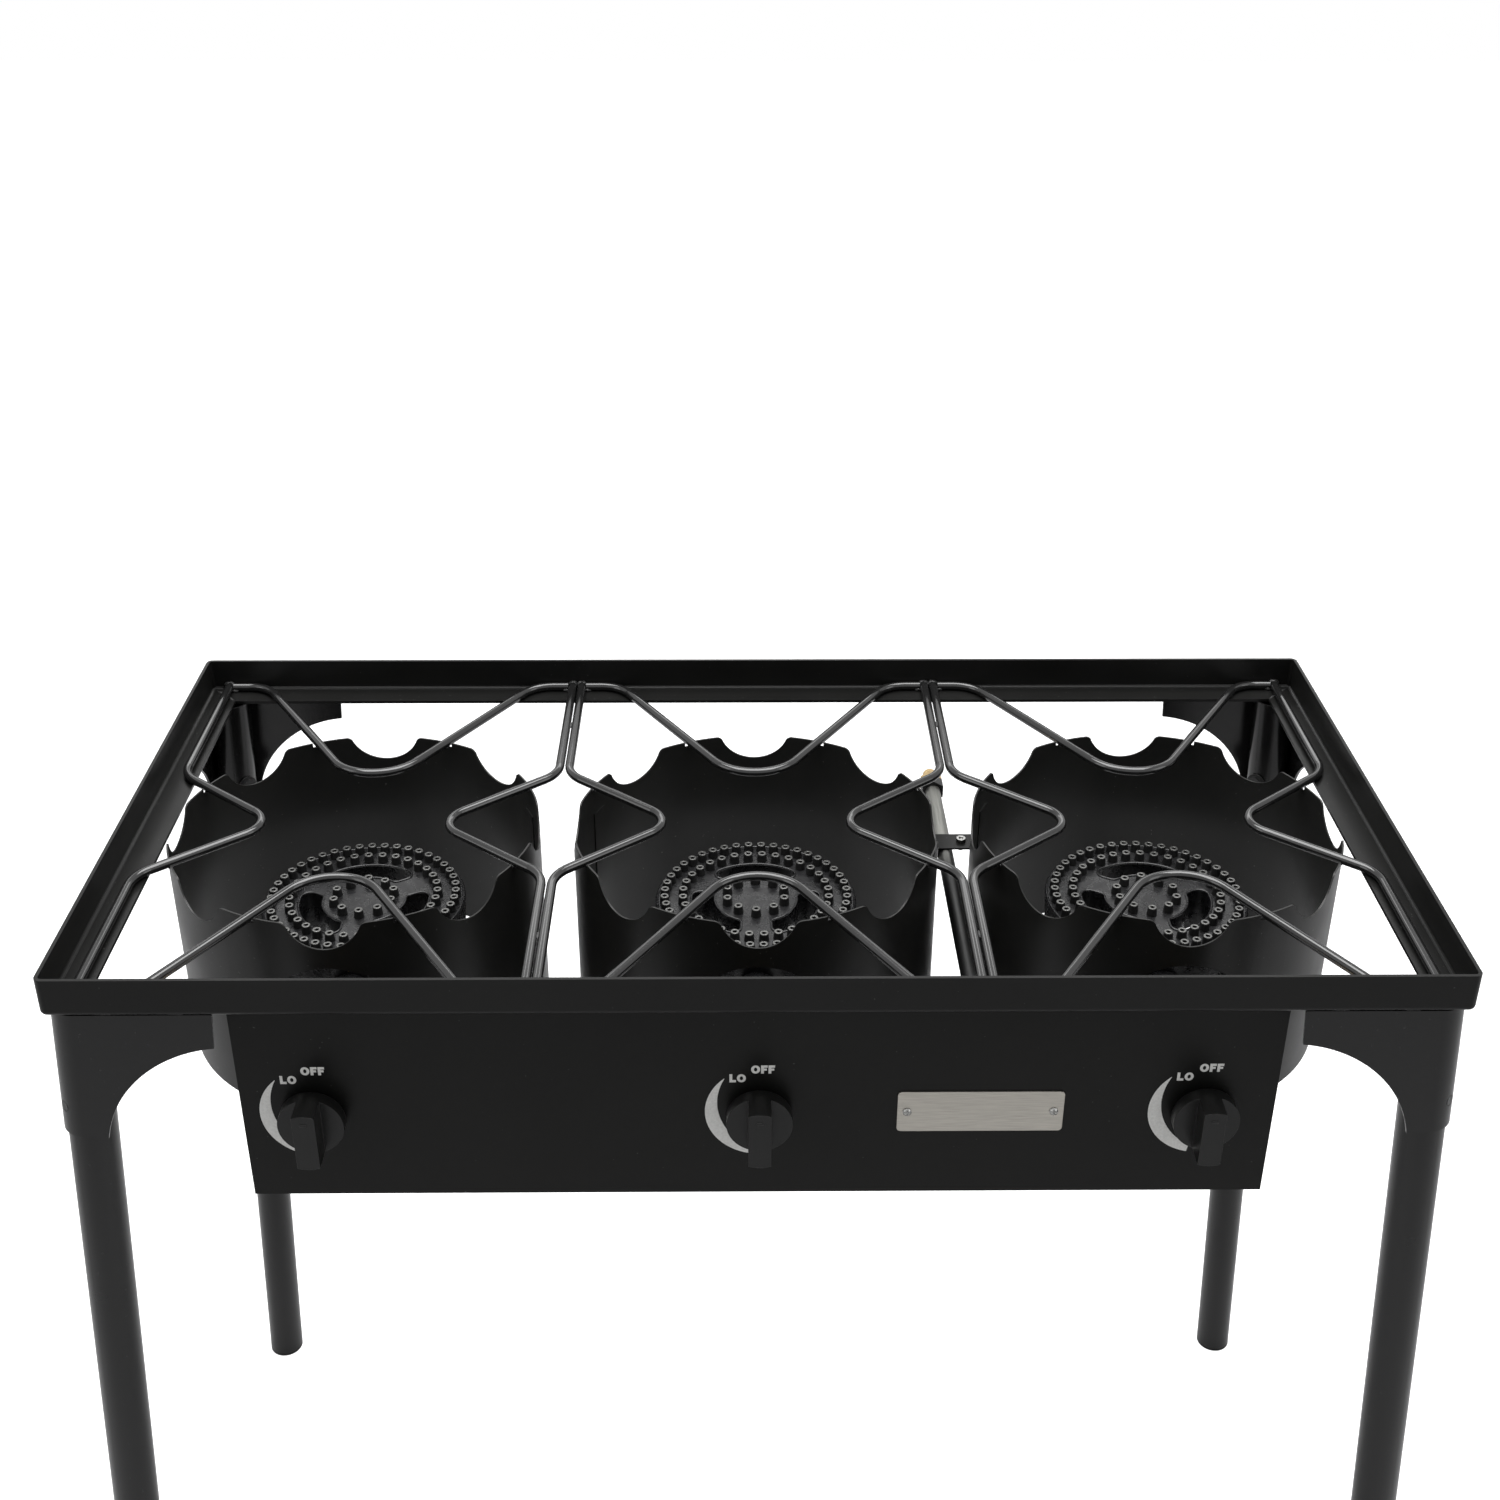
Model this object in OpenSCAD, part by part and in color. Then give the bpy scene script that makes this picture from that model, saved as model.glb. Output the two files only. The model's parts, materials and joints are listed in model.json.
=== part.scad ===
// Three-burner outdoor propane stand: angle-iron table frame on four splayed legs,
// three bent-wire grates, three sheet-metal wind guards, three cast burners and their gas line.
// Origin: centre of the floor under the stand. +X right, +Y rear, +Z up. Millimetres.

/* [Frame] */
// Outside width of the angle-iron frame
frame_w = 914.4; // [880:1:960]
// Outside depth of the angle-iron frame
frame_d = 457.2; // [430:1:500]
// Height of the frame's top edge above the floor
stand_h = 800; // [600:5:950]
// Height of the upright leg of the angle iron
flange_h = 28; // [22:1:36]
// Width of the flat leg of the angle iron, outside wall included
ledge_w = 25.4; // [22:0.5:30]
// Thickness of the angle iron
angle_t = 2.5; // [1.5:0.1:3.5]
// Outside radius of the bend between the two legs of the angle iron
angle_bend_r = 4; // [3:0.5:6]
// Plan radius of the three bent frame corners
corner_r = 5; // [4.5:0.5:12]
// Plan radius of the welded rear-left corner
weld_corner_r = 4.5; // [4:0.5:12]

/* [Legs] */
// Outside diameter of the leg tube
leg_d = 31.8; // [26:0.1:36]
// Wall of the leg tube
leg_wall = 1.5; // [1:0.1:2.5]
// Outward lean of each leg to the side, in degrees
leg_lean_x = 3.5; // [0:0.1:6]
// Outward lean of each leg to the front or rear, in degrees
leg_lean_y = 2.1; // [0:0.1:5]
// Thickness of the corner bracket sheet
bracket_t = 2; // [1.5:0.1:3]
// Height of a corner bracket, along the leg
bracket_h = 97; // [80:1:120]
// Length of each bracket wing, from the outside of the bend
bracket_wing = 107; // [95:0.5:120]
// Radius of the round cut under each wing
bracket_cut_r = 88; // [70:1:92]
// Distance of the round cut's centre past the end of the wing
bracket_cut_past = 14; // [8:0.5:20]
// Distance of the round cut's centre below the bracket
bracket_cut_drop = 11; // [4:0.5:16]
// Inset of the brackets from the outer face of the frame
bracket_inset = 1.5; // [0.5:0.1:3]
// Gap between a leg and the bracket bent round it
leg_gap = 0.2; // [0.1:0.05:0.5]
// Diameter of the leg bolt
leg_bolt_d = 8; // [5:1:10]
// Distance of the leg bolt below the ledge, along the leg
leg_bolt_drop = 76; // [60:1:85]
// Height of a foot plug, in and under its leg
foot_h = 22; // [14:1:40]
// Side wall of a foot plug inside the leg
foot_wall = 2; // [1:0.1:3]
// Thickness of a foot plug under the leg
foot_base = 3; // [2:0.5:6]

/* [Grates] */
// Diameter of the grate wire
wire_d = 7; // [5:0.5:9]
// Distance from one burner centre to the next
cell_pitch = 296; // [290:1:300]
// Gap between the side wires of two neighbouring cells
pair_gap = 0.6; // [0.3:0.1:8]
// Where a side wire starts to bend inwards, from the cell's centre line
side_bend_y = 72; // [60:1:85]
// Sharp point of a side wire's nose, from the cell's centre
side_nose_x = 58; // [50:1:70]
// Bend radius of a side wire at its nose
side_nose_r = 21; // [15:1:25]
// Bend radius of the wires at the rails
knee_r = 28; // [15:1:30]
// Half width of a front or rear wire's vee at the rail
vee_half_w = 112; // [95:1:118]
// Sharp point of a front or rear wire's nose, from the cell's centre
vee_nose_y = 41; // [30:1:75]
// Bend radius of a front or rear wire at its nose
vee_nose_r = 37; // [20:1:42]
// Gap between a wire's end and what it is welded to
weld_gap = 0.2; // [0.1:0.05:0.4]

/* [Wind guards] */
// Outside radius of a wind guard
guard_r = 135; // [125:0.5:135]
// Sheet thickness of a wind guard
guard_t = 1.2; // [0.8:0.1:2]
// Height of a wind guard
guard_h = 164; // [150:1:200]
// Number of scallops round the rim
scallop_count = 8; // [6:2:12]
// Depth of a scallop
scallop_depth = 20; // [12:1:26]
// Radius of a scallop
scallop_r = 27.5; // [22:0.5:30]
// Rounding of the teeth between the scallops
tooth_round = 6; // [3:0.5:8]
// Slack round a wire in its slot
slot_slack = 0.8; // [0.4:0.1:1.5]
// Half width of the arch cut for the mixing tube
arch_r = 45.5; // [40:0.5:48]
// Centre of the arch's round top, below the frame top
arch_drop = 103; // [95:1:115]

/* [Burners] */
// Outside radius of the burner ring
ring_r = 76; // [75.5:0.5:85]
// Inside radius of the burner ring
ring_bore_r = 49; // [44:0.5:50]
// Height of the burner ring
ring_h = 34; // [28:1:34]
// Top face of the burner ring, below the frame top
ring_drop = 90; // [85:1:100]
// Wall of the burner casting
cast_wall = 3; // [2.5:0.1:3.5]
// Slope of the ring's outer side, over its height
ring_draft = 2; // [0:0.5:3]
// Width of the three burner arms
arm_w = 22; // [18:1:26]
// Radius of the centre disc
disc_r = 31; // [29:1:34]
// Outside diameter of a nozzle at its top
nozzle_d = 6.4; // [5:0.1:7]
// Outside diameter of a nozzle at its foot
nozzle_foot_d = 7.8; // [7:0.1:8.4]
// Height of a nozzle above the ring
nozzle_h = 6.5; // [4:0.5:10]
// Gas hole through a nozzle
nozzle_bore_d = 3; // [1.5:0.1:3.6]
// Diameter of a nozzle's spigot
spigot_d = 4.6; // [4.2:0.1:4.8]
// Nozzles in the outer row
outer_nozzles = 44; // [36:1:48]
// Radius of the outer row
outer_row_r = 69; // [67:0.1:69]
// Nozzles in the inner row
inner_nozzles = 32; // [24:1:36]
// Radius of the inner row
inner_row_r = 55.2; // [54.6:0.1:57]
// Nozzles on the centre disc
disc_nozzles = 10; // [6:1:12]
// Radius of the row on the centre disc
disc_row_r = 22.5; // [17:0.5:23]
// Axis of the mixing tube and the valve, below the frame top
tube_drop = 120; // [118:1:126]
// Outside radius of the mixing tube
tube_r = 15.5; // [14:0.5:17]
// Wall of the mixing tube
tube_wall = 3.5; // [3:0.1:4.5]
// Radius of the bell at the mixing tube's mouth
bell_r = 27; // [24:0.5:30]
// Length of the bell
bell_l = 22; // [16:1:26]
// Distance from the burner's centre to the mouth of the bell
bell_y = 150; // [145:1:154]
// Place of the mixing tube's two ears, in front of the burner's centre
ear_y = 40; // [32:0.5:60]
// Length of an ear along the mixing tube
ear_l = 20; // [16:0.5:26]
// Thickness of an ear
ear_t = 7; // [5:0.5:8]
// Distance of each ear's end from the tube's axis
ear_reach = 29; // [27:0.5:34]
// Distance of each burner bolt from the tube's axis
ear_bolt_x = 20.5; // [20:0.5:22]
// Width of a burner strap
strap_w = 25; // [18:1:30]
// Thickness of a burner strap
strap_t = 3; // [2:0.5:5]
// Diameter of a burner bolt
burner_bolt_d = 6; // [5:0.5:7]

/* [Air shutters] */
// Radius of an air shutter
shutter_r = 26; // [23:0.5:29]
// Thickness of an air shutter
shutter_t = 1.5; // [1:0.1:2]
// Radius of a shutter window
window_r = 5.5; // [4:0.5:6]
// Distance of a shutter window from the axis
window_y = 15.5; // [14:0.5:17]

/* [Gas line] */
// Outside diameter of the manifold
manifold_d = 18; // [17:0.5:20]
// Wall of the manifold
manifold_wall = 2; // [1.5:0.1:3]
// Manifold's axis below the valve axis
manifold_drop = 26; // [24:1:30]
// Manifold's axis, in front of the burner centres
manifold_y = 188; // [186:0.5:192]
// Length of the manifold past the outer valves
manifold_over = 16; // [12:1:30]
// Radius of a valve body
valve_r = 12.5; // [11:0.5:14]
// Rear face of a valve body, in front of the burner centres
valve_rear_y = 166; // [163:0.5:168]
// Diameter of the valve's threaded bonnet
bonnet_d = 14; // [12:0.5:16]
// Diameter of the valve's tail into the manifold
tail_d = 10; // [8:0.5:11]
// Diameter of the valve stem
stem_d = 8; // [6:0.5:9]
// Running clearance on radius, for stems and shutters
run_clear = 0.05; // [0.02:0.01:0.1]
// Diameter of a jet's shank
jet_d = 12; // [10:0.5:13]
// Hole in the tip of a jet
orifice_d = 1.2; // [0.8:0.1:2]
// Outside diameter of the supply pipe
pipe_d = 12; // [8:0.5:13]
// Wall of the supply pipe
pipe_wall = 1.2; // [0.8:0.1:2]
// Axis of the supply pipe, below the frame top
pipe_drop = 75; // [70:1:85]
// Sideways place of the supply pipe at the manifold
pipe_front_x = 148; // [146:0.5:151]
// Sideways place of the supply pipe at its rear end
pipe_rear_x = 146; // [142:0.5:151]
// Rear end of the supply pipe, behind the burner centres
pipe_rear_y = 148; // [130:1:165]
// Bend radius of the supply pipe
pipe_bend_r = 25; // [20:1:30]
// Length of the inlet fitting behind the pipe nut
inlet_l = 16; // [12:1:24]
// Thread diameter of the inlet fitting
inlet_d = 11.1; // [10:0.1:16]
// Place of the pipe clip, behind the burner centres
clip_y = 46; // [30:1:75]
// Width of the pipe clip
clip_w = 21; // [12:1:26]
// Thickness of the pipe clip
clip_t = 1.5; // [1:0.1:2]

/* [Control panel] */
// Width of the control panel
panel_w = 688; // [670:1:698]
// Height of the control panel
panel_h = 162; // [155:1:185]
// Sheet thickness of the control panel
panel_t = 1.5; // [1:0.1:2]
// Inset of the panel's face from the front of the frame
panel_inset = 16.6; // [15:0.1:18]
// Depth of the panel's top flange
panel_flange = 16; // [14:1:20]
// Depth of the panel's side and bottom lips
panel_lip = 12; // [8:1:14]
// Distance of each panel screw from the panel's end
panel_screw_in = 40; // [20:1:80]
// Width of the name plate
plate_w = 111; // [100:1:130]
// Height of the name plate
plate_h = 33; // [26:1:40]
// Thickness of the name plate
plate_t = 1; // [0.6:0.1:1.5]
// Corner radius of the name plate
plate_corner_r = 3; // [1:0.5:6]
// Centre of the name plate, right of the middle
plate_x = 147.5; // [140:0.5:155]
// Distance between the name plate's screws
plate_screw_pitch = 98; // [80:1:102]

/* [Knobs] */
// Diameter of a knob's disc
knob_d = 44; // [36:1:50]
// Thickness of a knob's disc
knob_disc_t = 9; // [7:0.5:12]
// Width of a knob's grip
grip_w = 15; // [12:0.5:18]
// Depth of a knob's grip
grip_l = 17; // [12:1:24]
// Gap between a knob and the panel
knob_gap = 5; // [4.5:0.1:8]

/* [Screws] */
// Diameter of the pan-head screws of the panel and the clip
screw_d = 4; // [3:0.5:5]
// Diameter of the name plate's screws
plate_screw_d = 3; // [2.5:0.1:4]

/* [Hidden] */
$fn = 48;

// Small allowances: eps overlaps joined shapes, past is how far a cut runs past a face, fit is
// the gap on radius between pieces bolted together, ear_below drops the ears under their tube
eps = 0.01;
past = 1;
fit = 0.03;
ear_below = 1;
bar_lap = 0.5;
bend_thin = 0.08;
blend_sink = 0.1;
big = 2000;

// Heights
ledge_under_z = stand_h - flange_h;
ledge_top_z = ledge_under_z + angle_t;
wire_z = ledge_top_z + wire_d / 2;
rim_z = wire_z;
guard_bottom_z = rim_z - guard_h;
ring_top_z = stand_h - ring_drop;
tube_z = stand_h - tube_drop;
arch_z = stand_h - arch_drop;
ear_bottom_z = tube_z - tube_r - ear_below;
manifold_z = tube_z - manifold_drop;
pipe_z = stand_h - pipe_drop;

// Plan places
half_w = frame_w / 2;
half_d = frame_d / 2;
wire_end_y = half_d - angle_t - weld_gap;
wire_rest_y = wire_end_y - wire_d / 2;
side_wire_x = (cell_pitch - wire_d - pair_gap) / 2;
leg_inner_d = leg_d - 2 * leg_wall;
leg_inset = bracket_inset + bracket_t + leg_gap + leg_d / 2;
leg_x = half_w - leg_inset;
leg_y = half_d - leg_inset;
bracket_in_r = leg_d / 2 + leg_gap;
bracket_out_r = bracket_in_r + bracket_t;
wing_reach = bracket_wing - bracket_out_r;
panel_face_y = -half_d + panel_inset;
panel_back_y = panel_face_y + panel_t;
knob_back_y = panel_face_y - knob_gap;

// Leg bolt: it points outwards through the leg and the bracket's bend
leg_bolt_head_h = 3;
leg_bolt_af = 13;
leg_washer_t = 1;
leg_washer_d = 17;

// Burner casting
arm_angles = [30, 150, 270];
arm_channel_w = arm_w - 2 * cast_wall;
tube_bore_r = tube_r - tube_wall;
bell_taper_y = bell_y - bell_l;
bell_rim_t = 3;
mouth_t = 4;
rim_bevel = 1;
spigot_past = 1;
spigot_l = cast_wall + spigot_past;
channel_out_r = ring_r - 3 / 4 * ring_draft - cast_wall;

// Burner bolts
burner_bolt_head_h = 4;
burner_bolt_af = 10;
burner_nut_h = 5;
burner_bolt_past = 1;
burner_bolt_l = ear_t + strap_t + burner_nut_h + burner_bolt_past;

// Jets and shutters
window_angles = [30, 150, 270];
shutter_gap = 0.3;
shutter_rear_y = bell_y + shutter_gap;
shutter_front_y = shutter_rear_y + shutter_t;
collar_rear_y = shutter_front_y + shutter_gap;
collar_t = 4;
collar_af = 17;
jet_spigot_d = 8;
jet_spigot_l = 6;
jet_gallery_d = 5;
jet_tip_l = 3;
tab_w = 8;
tab_l = 7;

// Valves
stem_bore_l = 22;
stem_in_l = 20;
bonnet_nut_t = 3;
bonnet_nut_af = 18;
bonnet_past_nut = 0.8;
bonnet_l = panel_t + bonnet_nut_t + bonnet_past_nut;
tail_bore_d = 4;
outlet_bore_d = jet_spigot_d + 2 * fit;
knob_pocket_l = 16;
pocket_slack = 1;
stem_front_y = knob_back_y - knob_pocket_l + pocket_slack;
knob_recess_d = bonnet_nut_af * 1.25;
knob_recess_l = 3;

// Supply pipe, nut, fitting and clip
pipe_run = [pipe_front_x - pipe_rear_x, -manifold_y - pipe_rear_y];
pipe_heading = atan2(pipe_run.y, pipe_run.x);
pipe_sink = 3;
pipe_entry_z = manifold_z + manifold_d / 2 - pipe_sink;
nut_af = 17;
nut_l = 13;
fitting_af = 17;
fitting_hex_l = 5;
inlet_bore_d = 6;
clip_hook_l = pipe_d;
clip_slack = 0.3;
clip_screw_gap = 12.5;
clip_screw_past = 6;
socket_head_d = 1.875 * screw_d;
socket_head_h = 0.75 * screw_d;
socket_af = 0.75 * screw_d;
socket_l = 0.4 * screw_d;

// Screw heads
pan_head_d = 2 * screw_d;
pan_head_h = 0.6 * screw_d;
pan_shank_past = 3;
pan_shank_l = panel_t + angle_t + pan_shank_past;
panel_screw_gap = 0.2;
panel_screw_y = panel_back_y + pan_head_d / 2 + panel_screw_gap;
plate_head_d = 2 * plate_screw_d;
plate_head_h = 0.6 * plate_screw_d;
plate_screw_l = 6;

// ---- vectors -------------------------------------------------------------------------------
function unit(v) = v / norm(v);
function turn(a, b, c) =
    let (u = unit(b - a), v = unit(c - b))
    atan2(u.x * v.y - u.y * v.x, u.x * v.x + u.y * v.y);
function bend_cut(path, i, r) =
    (i <= 0 || i >= len(path) - 1) ? 0 : r * tan(abs(turn(path[i - 1], path[i], path[i + 1])) / 2);

// Corner points of a rectangle about the origin, each corner rounded by steps facets
function round_rect(w, h, r, steps) = [
    for (corner = [0 : 3])
        let (
            x = w / 2 - r,
            y = h / 2 - r,
            centre = [[x, y], [-x, y], [-x, -y], [x, -y]][corner]
        )
        for (i = [0 : steps])
            let (a = 90 * (corner + i / steps))
            centre + r * [cos(a), sin(a)]
];

// Round bar of diameter d bent along a flat path, with bend radius radii[i] at point i.
// The straights run bar_lap into the bends, which draw thinner by bend_thin on radius, as a pulled bar does.
module bent_bar(path, radii, d) {
    last = len(path) - 1;
    for (i = [0 : last - 1]) {
        u = unit(path[i + 1] - path[i]);
        start = i == 0 ? 0 : bend_cut(path, i, radii[i]) - bar_lap;
        end = i == last - 1 ? 0 : bend_cut(path, i + 1, radii[i + 1]) - bar_lap;
        length = norm(path[i + 1] - path[i]) - start - end;
        translate(path[i] + u * start)
            rotate([0, 90, atan2(u.y, u.x)])
                cylinder(d = d, h = length);
    }
    for (i = [1 : last - 1]) {
        angle = turn(path[i - 1], path[i], path[i + 1]);
        u = unit(path[i] - path[i - 1]);
        inward = sign(angle) * [-u.y, u.x];
        centre = path[i] - u * bend_cut(path, i, radii[i]) + inward * radii[i];
        first = atan2(-inward.y, -inward.x);
        translate(centre)
            rotate(angle > 0 ? first : first + angle)
                rotate_extrude(angle = abs(angle))
                    translate([radii[i], 0])
                        circle(d = d - 2 * bend_thin);
    }
}

// Cylinder along Y, from y0 to y1, on the axis x = 0, z = 0
module y_rod(r, y0, y1) {
    translate([0, y0, 0])
        rotate([-90, 0, 0])
            cylinder(r = r, h = y1 - y0);
}

// Hexagonal prism along Y, from y0 to y1
module y_hex(across_flats, y0, y1) {
    translate([0, y0, 0])
        rotate([-90, 30, 0])
            cylinder(d = across_flats / cos(30), h = y1 - y0, $fn = 6);
}

// The three air windows of a bell mouth and of its shutter, from y0 to y1
module air_windows(y0, y1) {
    for (a = window_angles)
        rotate([0, a, 0])
            translate([window_y, 0, 0])
                y_rod(window_r, y0, y1);
}

// Copies a front-left piece to another corner
module at_corner(right, rear) {
    mirror([right, 0, 0])
        mirror([0, rear, 0])
            children();
}

// ---- frame ---------------------------------------------------------------------------------
// Section of the angle iron: x inwards from the outer face, y up from the underside.
// width is how much of the flat leg is drawn.
module angle_section(width) {
    difference() {
        union() {
            translate([0, angle_bend_r])
                square([angle_t, flange_h - angle_bend_r]);
            translate([angle_bend_r, 0])
                square([width - angle_bend_r, angle_t]);
            intersection() {
                translate([angle_bend_r, angle_bend_r])
                    circle(r = angle_bend_r);
                square(angle_bend_r);
            }
        }
        translate([angle_bend_r, angle_bend_r])
            circle(r = angle_bend_r - angle_t);
    }
}

// Straight run of angle iron along X, centred, outer face towards -Y
module straight_angle(length, depth) {
    translate([-length / 2, -depth, 0])
        rotate([90, 0, 90])
            linear_extrude(length)
                angle_section(ledge_w);
}

// Quarter turn of angle iron for the front-left corner of a frame of half sizes w and d
module turned_angle(w, d, r) {
    translate([-w + r, -d + r, 0])
        rotate(180)
            rotate_extrude(angle = 90)
                difference() {
                    translate([r, 0])
                        mirror([1, 0])
                            angle_section(r);
                    translate([-r, -eps])
                        square([r, flange_h]);
                }
}

// One rail along X between mitred ends; left_r and right_r are the plan radii of its corners
module rail(length, depth, left_r, right_r) {
    intersection() {
        union() {
            translate([(left_r - right_r) / 2, 0, 0])
                straight_angle(length - left_r - right_r, depth);
            turned_angle(length / 2, depth, left_r);
            mirror([1, 0, 0])
                turned_angle(length / 2, depth, right_r);
        }
        linear_extrude(flange_h)
            polygon([
                [-length / 2, -depth],
                [length / 2, -depth],
                [length / 2 - ledge_w, -depth + ledge_w],
                [-length / 2 + ledge_w, -depth + ledge_w]
            ]);
    }
}

module front_rail() {
    color("#202020")
        difference() {
            translate([0, 0, ledge_under_z])
                rail(frame_w, half_d, corner_r, corner_r);
            for (side = [-1, 1])
                translate([side * (panel_w / 2 - panel_screw_in), panel_screw_y, ledge_under_z - eps])
                    cylinder(r = screw_d / 2 + fit, h = angle_t + 2 * eps);
        }
}

module rear_rail() {
    color("#202020")
        translate([0, 0, ledge_under_z])
            rotate(180)
                rail(frame_w, half_d, corner_r, weld_corner_r);
}

module left_rail() {
    color("#202020")
        translate([0, 0, ledge_under_z])
            rotate(-90)
                rail(frame_d, half_w, weld_corner_r, corner_r);
}

module right_rail() {
    color("#202020")
        translate([0, 0, ledge_under_z])
            rotate(90)
                rail(frame_d, half_w, corner_r, corner_r);
}

// ---- legs ----------------------------------------------------------------------------------
// Puts children on the front-left leg's axis, with z = 0 at the ledge's underside
module on_leg_axis() {
    translate([-leg_x, -leg_y, ledge_under_z])
        rotate([-leg_lean_y, leg_lean_x, 0])
            children();
}

// Everything between two heights
module slab(z0, z1) {
    translate([-big / 2, -big / 2, z0])
        cube([big, big, z1 - z0]);
}

// Bolt hole of the front-left leg, from x = start outwards along the corner's diagonal
module leg_bolt_line(r, start, end) {
    translate([0, 0, -leg_bolt_drop])
        rotate([0, 90, 45])
            translate([0, 0, start])
                cylinder(r = r, h = end - start);
}

module bracket_sheet() {
    linear_extrude(bracket_h + leg_d)
        union() {
            difference() {
                circle(r = bracket_out_r);
                circle(r = bracket_in_r);
                translate([0, -big / 2])
                    square(big);
                translate([-big / 2, 0])
                    square(big);
            }
            translate([0, -bracket_out_r])
                square([wing_reach, bracket_t]);
            translate([-bracket_out_r, 0])
                square([bracket_t, wing_reach]);
        }
}

module bracket() {
    color("#1c1c1c")
        intersection() {
            on_leg_axis()
                difference() {
                    translate([0, 0, -bracket_h])
                        bracket_sheet();
                    translate([wing_reach + bracket_cut_past, 0, -bracket_h - bracket_cut_drop])
                        rotate([90, 0, 0])
                            cylinder(r = bracket_cut_r, h = 2 * bracket_out_r);
                    translate([0, wing_reach + bracket_cut_past, -bracket_h - bracket_cut_drop])
                        rotate([0, -90, 0])
                            cylinder(r = bracket_cut_r, h = 2 * bracket_out_r);
                    leg_bolt_line(leg_bolt_d / 2 + fit, -2 * bracket_out_r, 0);
                }
            slab(0, ledge_under_z);
        }
}

module leg() {
    color("#1c1c1c")
        intersection() {
            on_leg_axis()
                difference() {
                    translate([0, 0, -stand_h])
                        cylinder(d = leg_d, h = stand_h + leg_d);
                    translate([0, 0, -stand_h - past])
                        cylinder(d = leg_inner_d, h = stand_h + leg_d + 2 * past);
                    leg_bolt_line(leg_bolt_d / 2 + fit, -leg_d, leg_d);
                }
            slab(foot_base, ledge_under_z);
        }
}

// Bar along the leg's axis, from the floor up
module leg_bar(d, low, high) {
    intersection() {
        on_leg_axis()
            translate([0, 0, -stand_h])
                cylinder(d = d, h = stand_h);
        slab(low, high);
    }
}

// Plugs that close the legs and stand on the floor, as wide as the tube
module foot_caps() {
    color("#101010")
        for (right = [0, 1], rear = [0, 1])
            at_corner(right, rear)
                difference() {
                    union() {
                        leg_bar(leg_d, 0, foot_base);
                        leg_bar(leg_inner_d - 2 * fit, 0, foot_h);
                    }
                    leg_bar(leg_inner_d - 2 * (foot_wall + fit), foot_base, foot_h + past);
                }
}

module leg_bolt() {
    on_leg_axis()
        union() {
            leg_bolt_line(leg_bolt_d / 2, -bracket_out_r + fit, leg_d / 2 + leg_washer_t);
            leg_bolt_line(leg_washer_d / 2, leg_d / 2, leg_d / 2 + leg_washer_t);
            translate([0, 0, -leg_bolt_drop])
                rotate([0, 90, 45])
                    translate([0, 0, leg_d / 2 + leg_washer_t])
                        cylinder(d = leg_bolt_af / cos(30), h = leg_bolt_head_h, $fn = 6);
        }
}

module leg_bolts() {
    color("#8a8a8a")
        for (right = [0, 1], rear = [0, 1])
            at_corner(right, rear)
                leg_bolt();
}

// ---- grates --------------------------------------------------------------------------------
// Side wire of a cell, for the left side; it lies on the front and rear ledges
side_path = [
    [-side_wire_x, -wire_end_y],
    [-side_wire_x, -side_bend_y],
    [-side_nose_x, 0],
    [-side_wire_x, side_bend_y],
    [-side_wire_x, wire_end_y]
];

// Front wire of a cell; it lies along the front ledge and noses in over the burner
vee_end_x = side_wire_x - wire_d / 2 - weld_gap;
vee_path = [
    [-vee_end_x, -wire_rest_y],
    [-vee_half_w, -wire_rest_y],
    [0, -vee_nose_y],
    [vee_half_w, -wire_rest_y],
    [vee_end_x, -wire_rest_y]
];
side_radii = [0, knee_r, side_nose_r, knee_r, 0];
vee_radii = [0, knee_r, vee_nose_r, knee_r, 0];

module side_wire(cell, right) {
    color("#2c2c2c")
        translate([cell * cell_pitch, 0, wire_z])
            mirror([right, 0, 0])
                bent_bar(side_path, side_radii, wire_d);
}

module vee_wire(cell, rear) {
    color("#2c2c2c")
        translate([cell * cell_pitch, 0, wire_z])
            mirror([0, rear, 0])
                bent_bar(vee_path, vee_radii, wire_d);
}

// ---- wind guards ---------------------------------------------------------------------------
// Where the line from point a in direction v meets a circle of radius r about the origin
function line_hits_circle(a, v, r) =
    let (
        along = a * v,
        reach = -along + sqrt(along * along - a * a + r * r)
    )
    a + reach * v;

side_slope = unit([-(side_wire_x - side_nose_x), -side_bend_y]);
side_hit = line_hits_circle([-side_nose_x, 0], side_slope, guard_r - guard_t / 2);
vee_slope = unit([-vee_half_w, -(wire_rest_y - vee_nose_y)]);
vee_hit = line_hits_circle([0, -vee_nose_y], vee_slope, guard_r - guard_t / 2);

// One scallop, cut outwards through the rim: a round bottom, and a rounded tooth corner on
// each side that sinks blend_sink into the bottom and the rim, so that they run together
module scallop() {
    bottom_z = scallop_r - scallop_depth;
    corner_z = blend_sink - tooth_round;
    reach = scallop_r + tooth_round - blend_sink;
    corner_x = sqrt(pow(reach, 2) - pow(bottom_z - corner_z, 2));
    meet_z = bottom_z - (bottom_z - corner_z) * scallop_r / reach;
    translate([guard_r / 2, 0, rim_z]) {
        translate([0, 0, bottom_z])
            rotate([0, 90, 0])
                cylinder(r = scallop_r, h = guard_r);
        for (side = [0, 1])
            mirror([0, side, 0])
                difference() {
                    translate([0, corner_x - tooth_round - 2 * past, meet_z])
                        cube([guard_r, tooth_round + 2 * past, 2 * past - meet_z]);
                    translate([-past, corner_x, corner_z])
                        rotate([0, 90, 0])
                            cylinder(r = tooth_round, h = guard_r + 2 * past);
                }
    }
}

// Slot that lets a wire through the rim, at the point hit and along the direction v
module wire_slot(hit, v) {
    translate([hit.x, hit.y, wire_z - wire_d / 2 - weld_gap])
        rotate(atan2(v.y, v.x))
            translate([-wire_d, -wire_d / 2 - slot_slack, 0])
                cube([2 * wire_d, wire_d + 2 * slot_slack, 2 * wire_d]);
}

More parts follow.
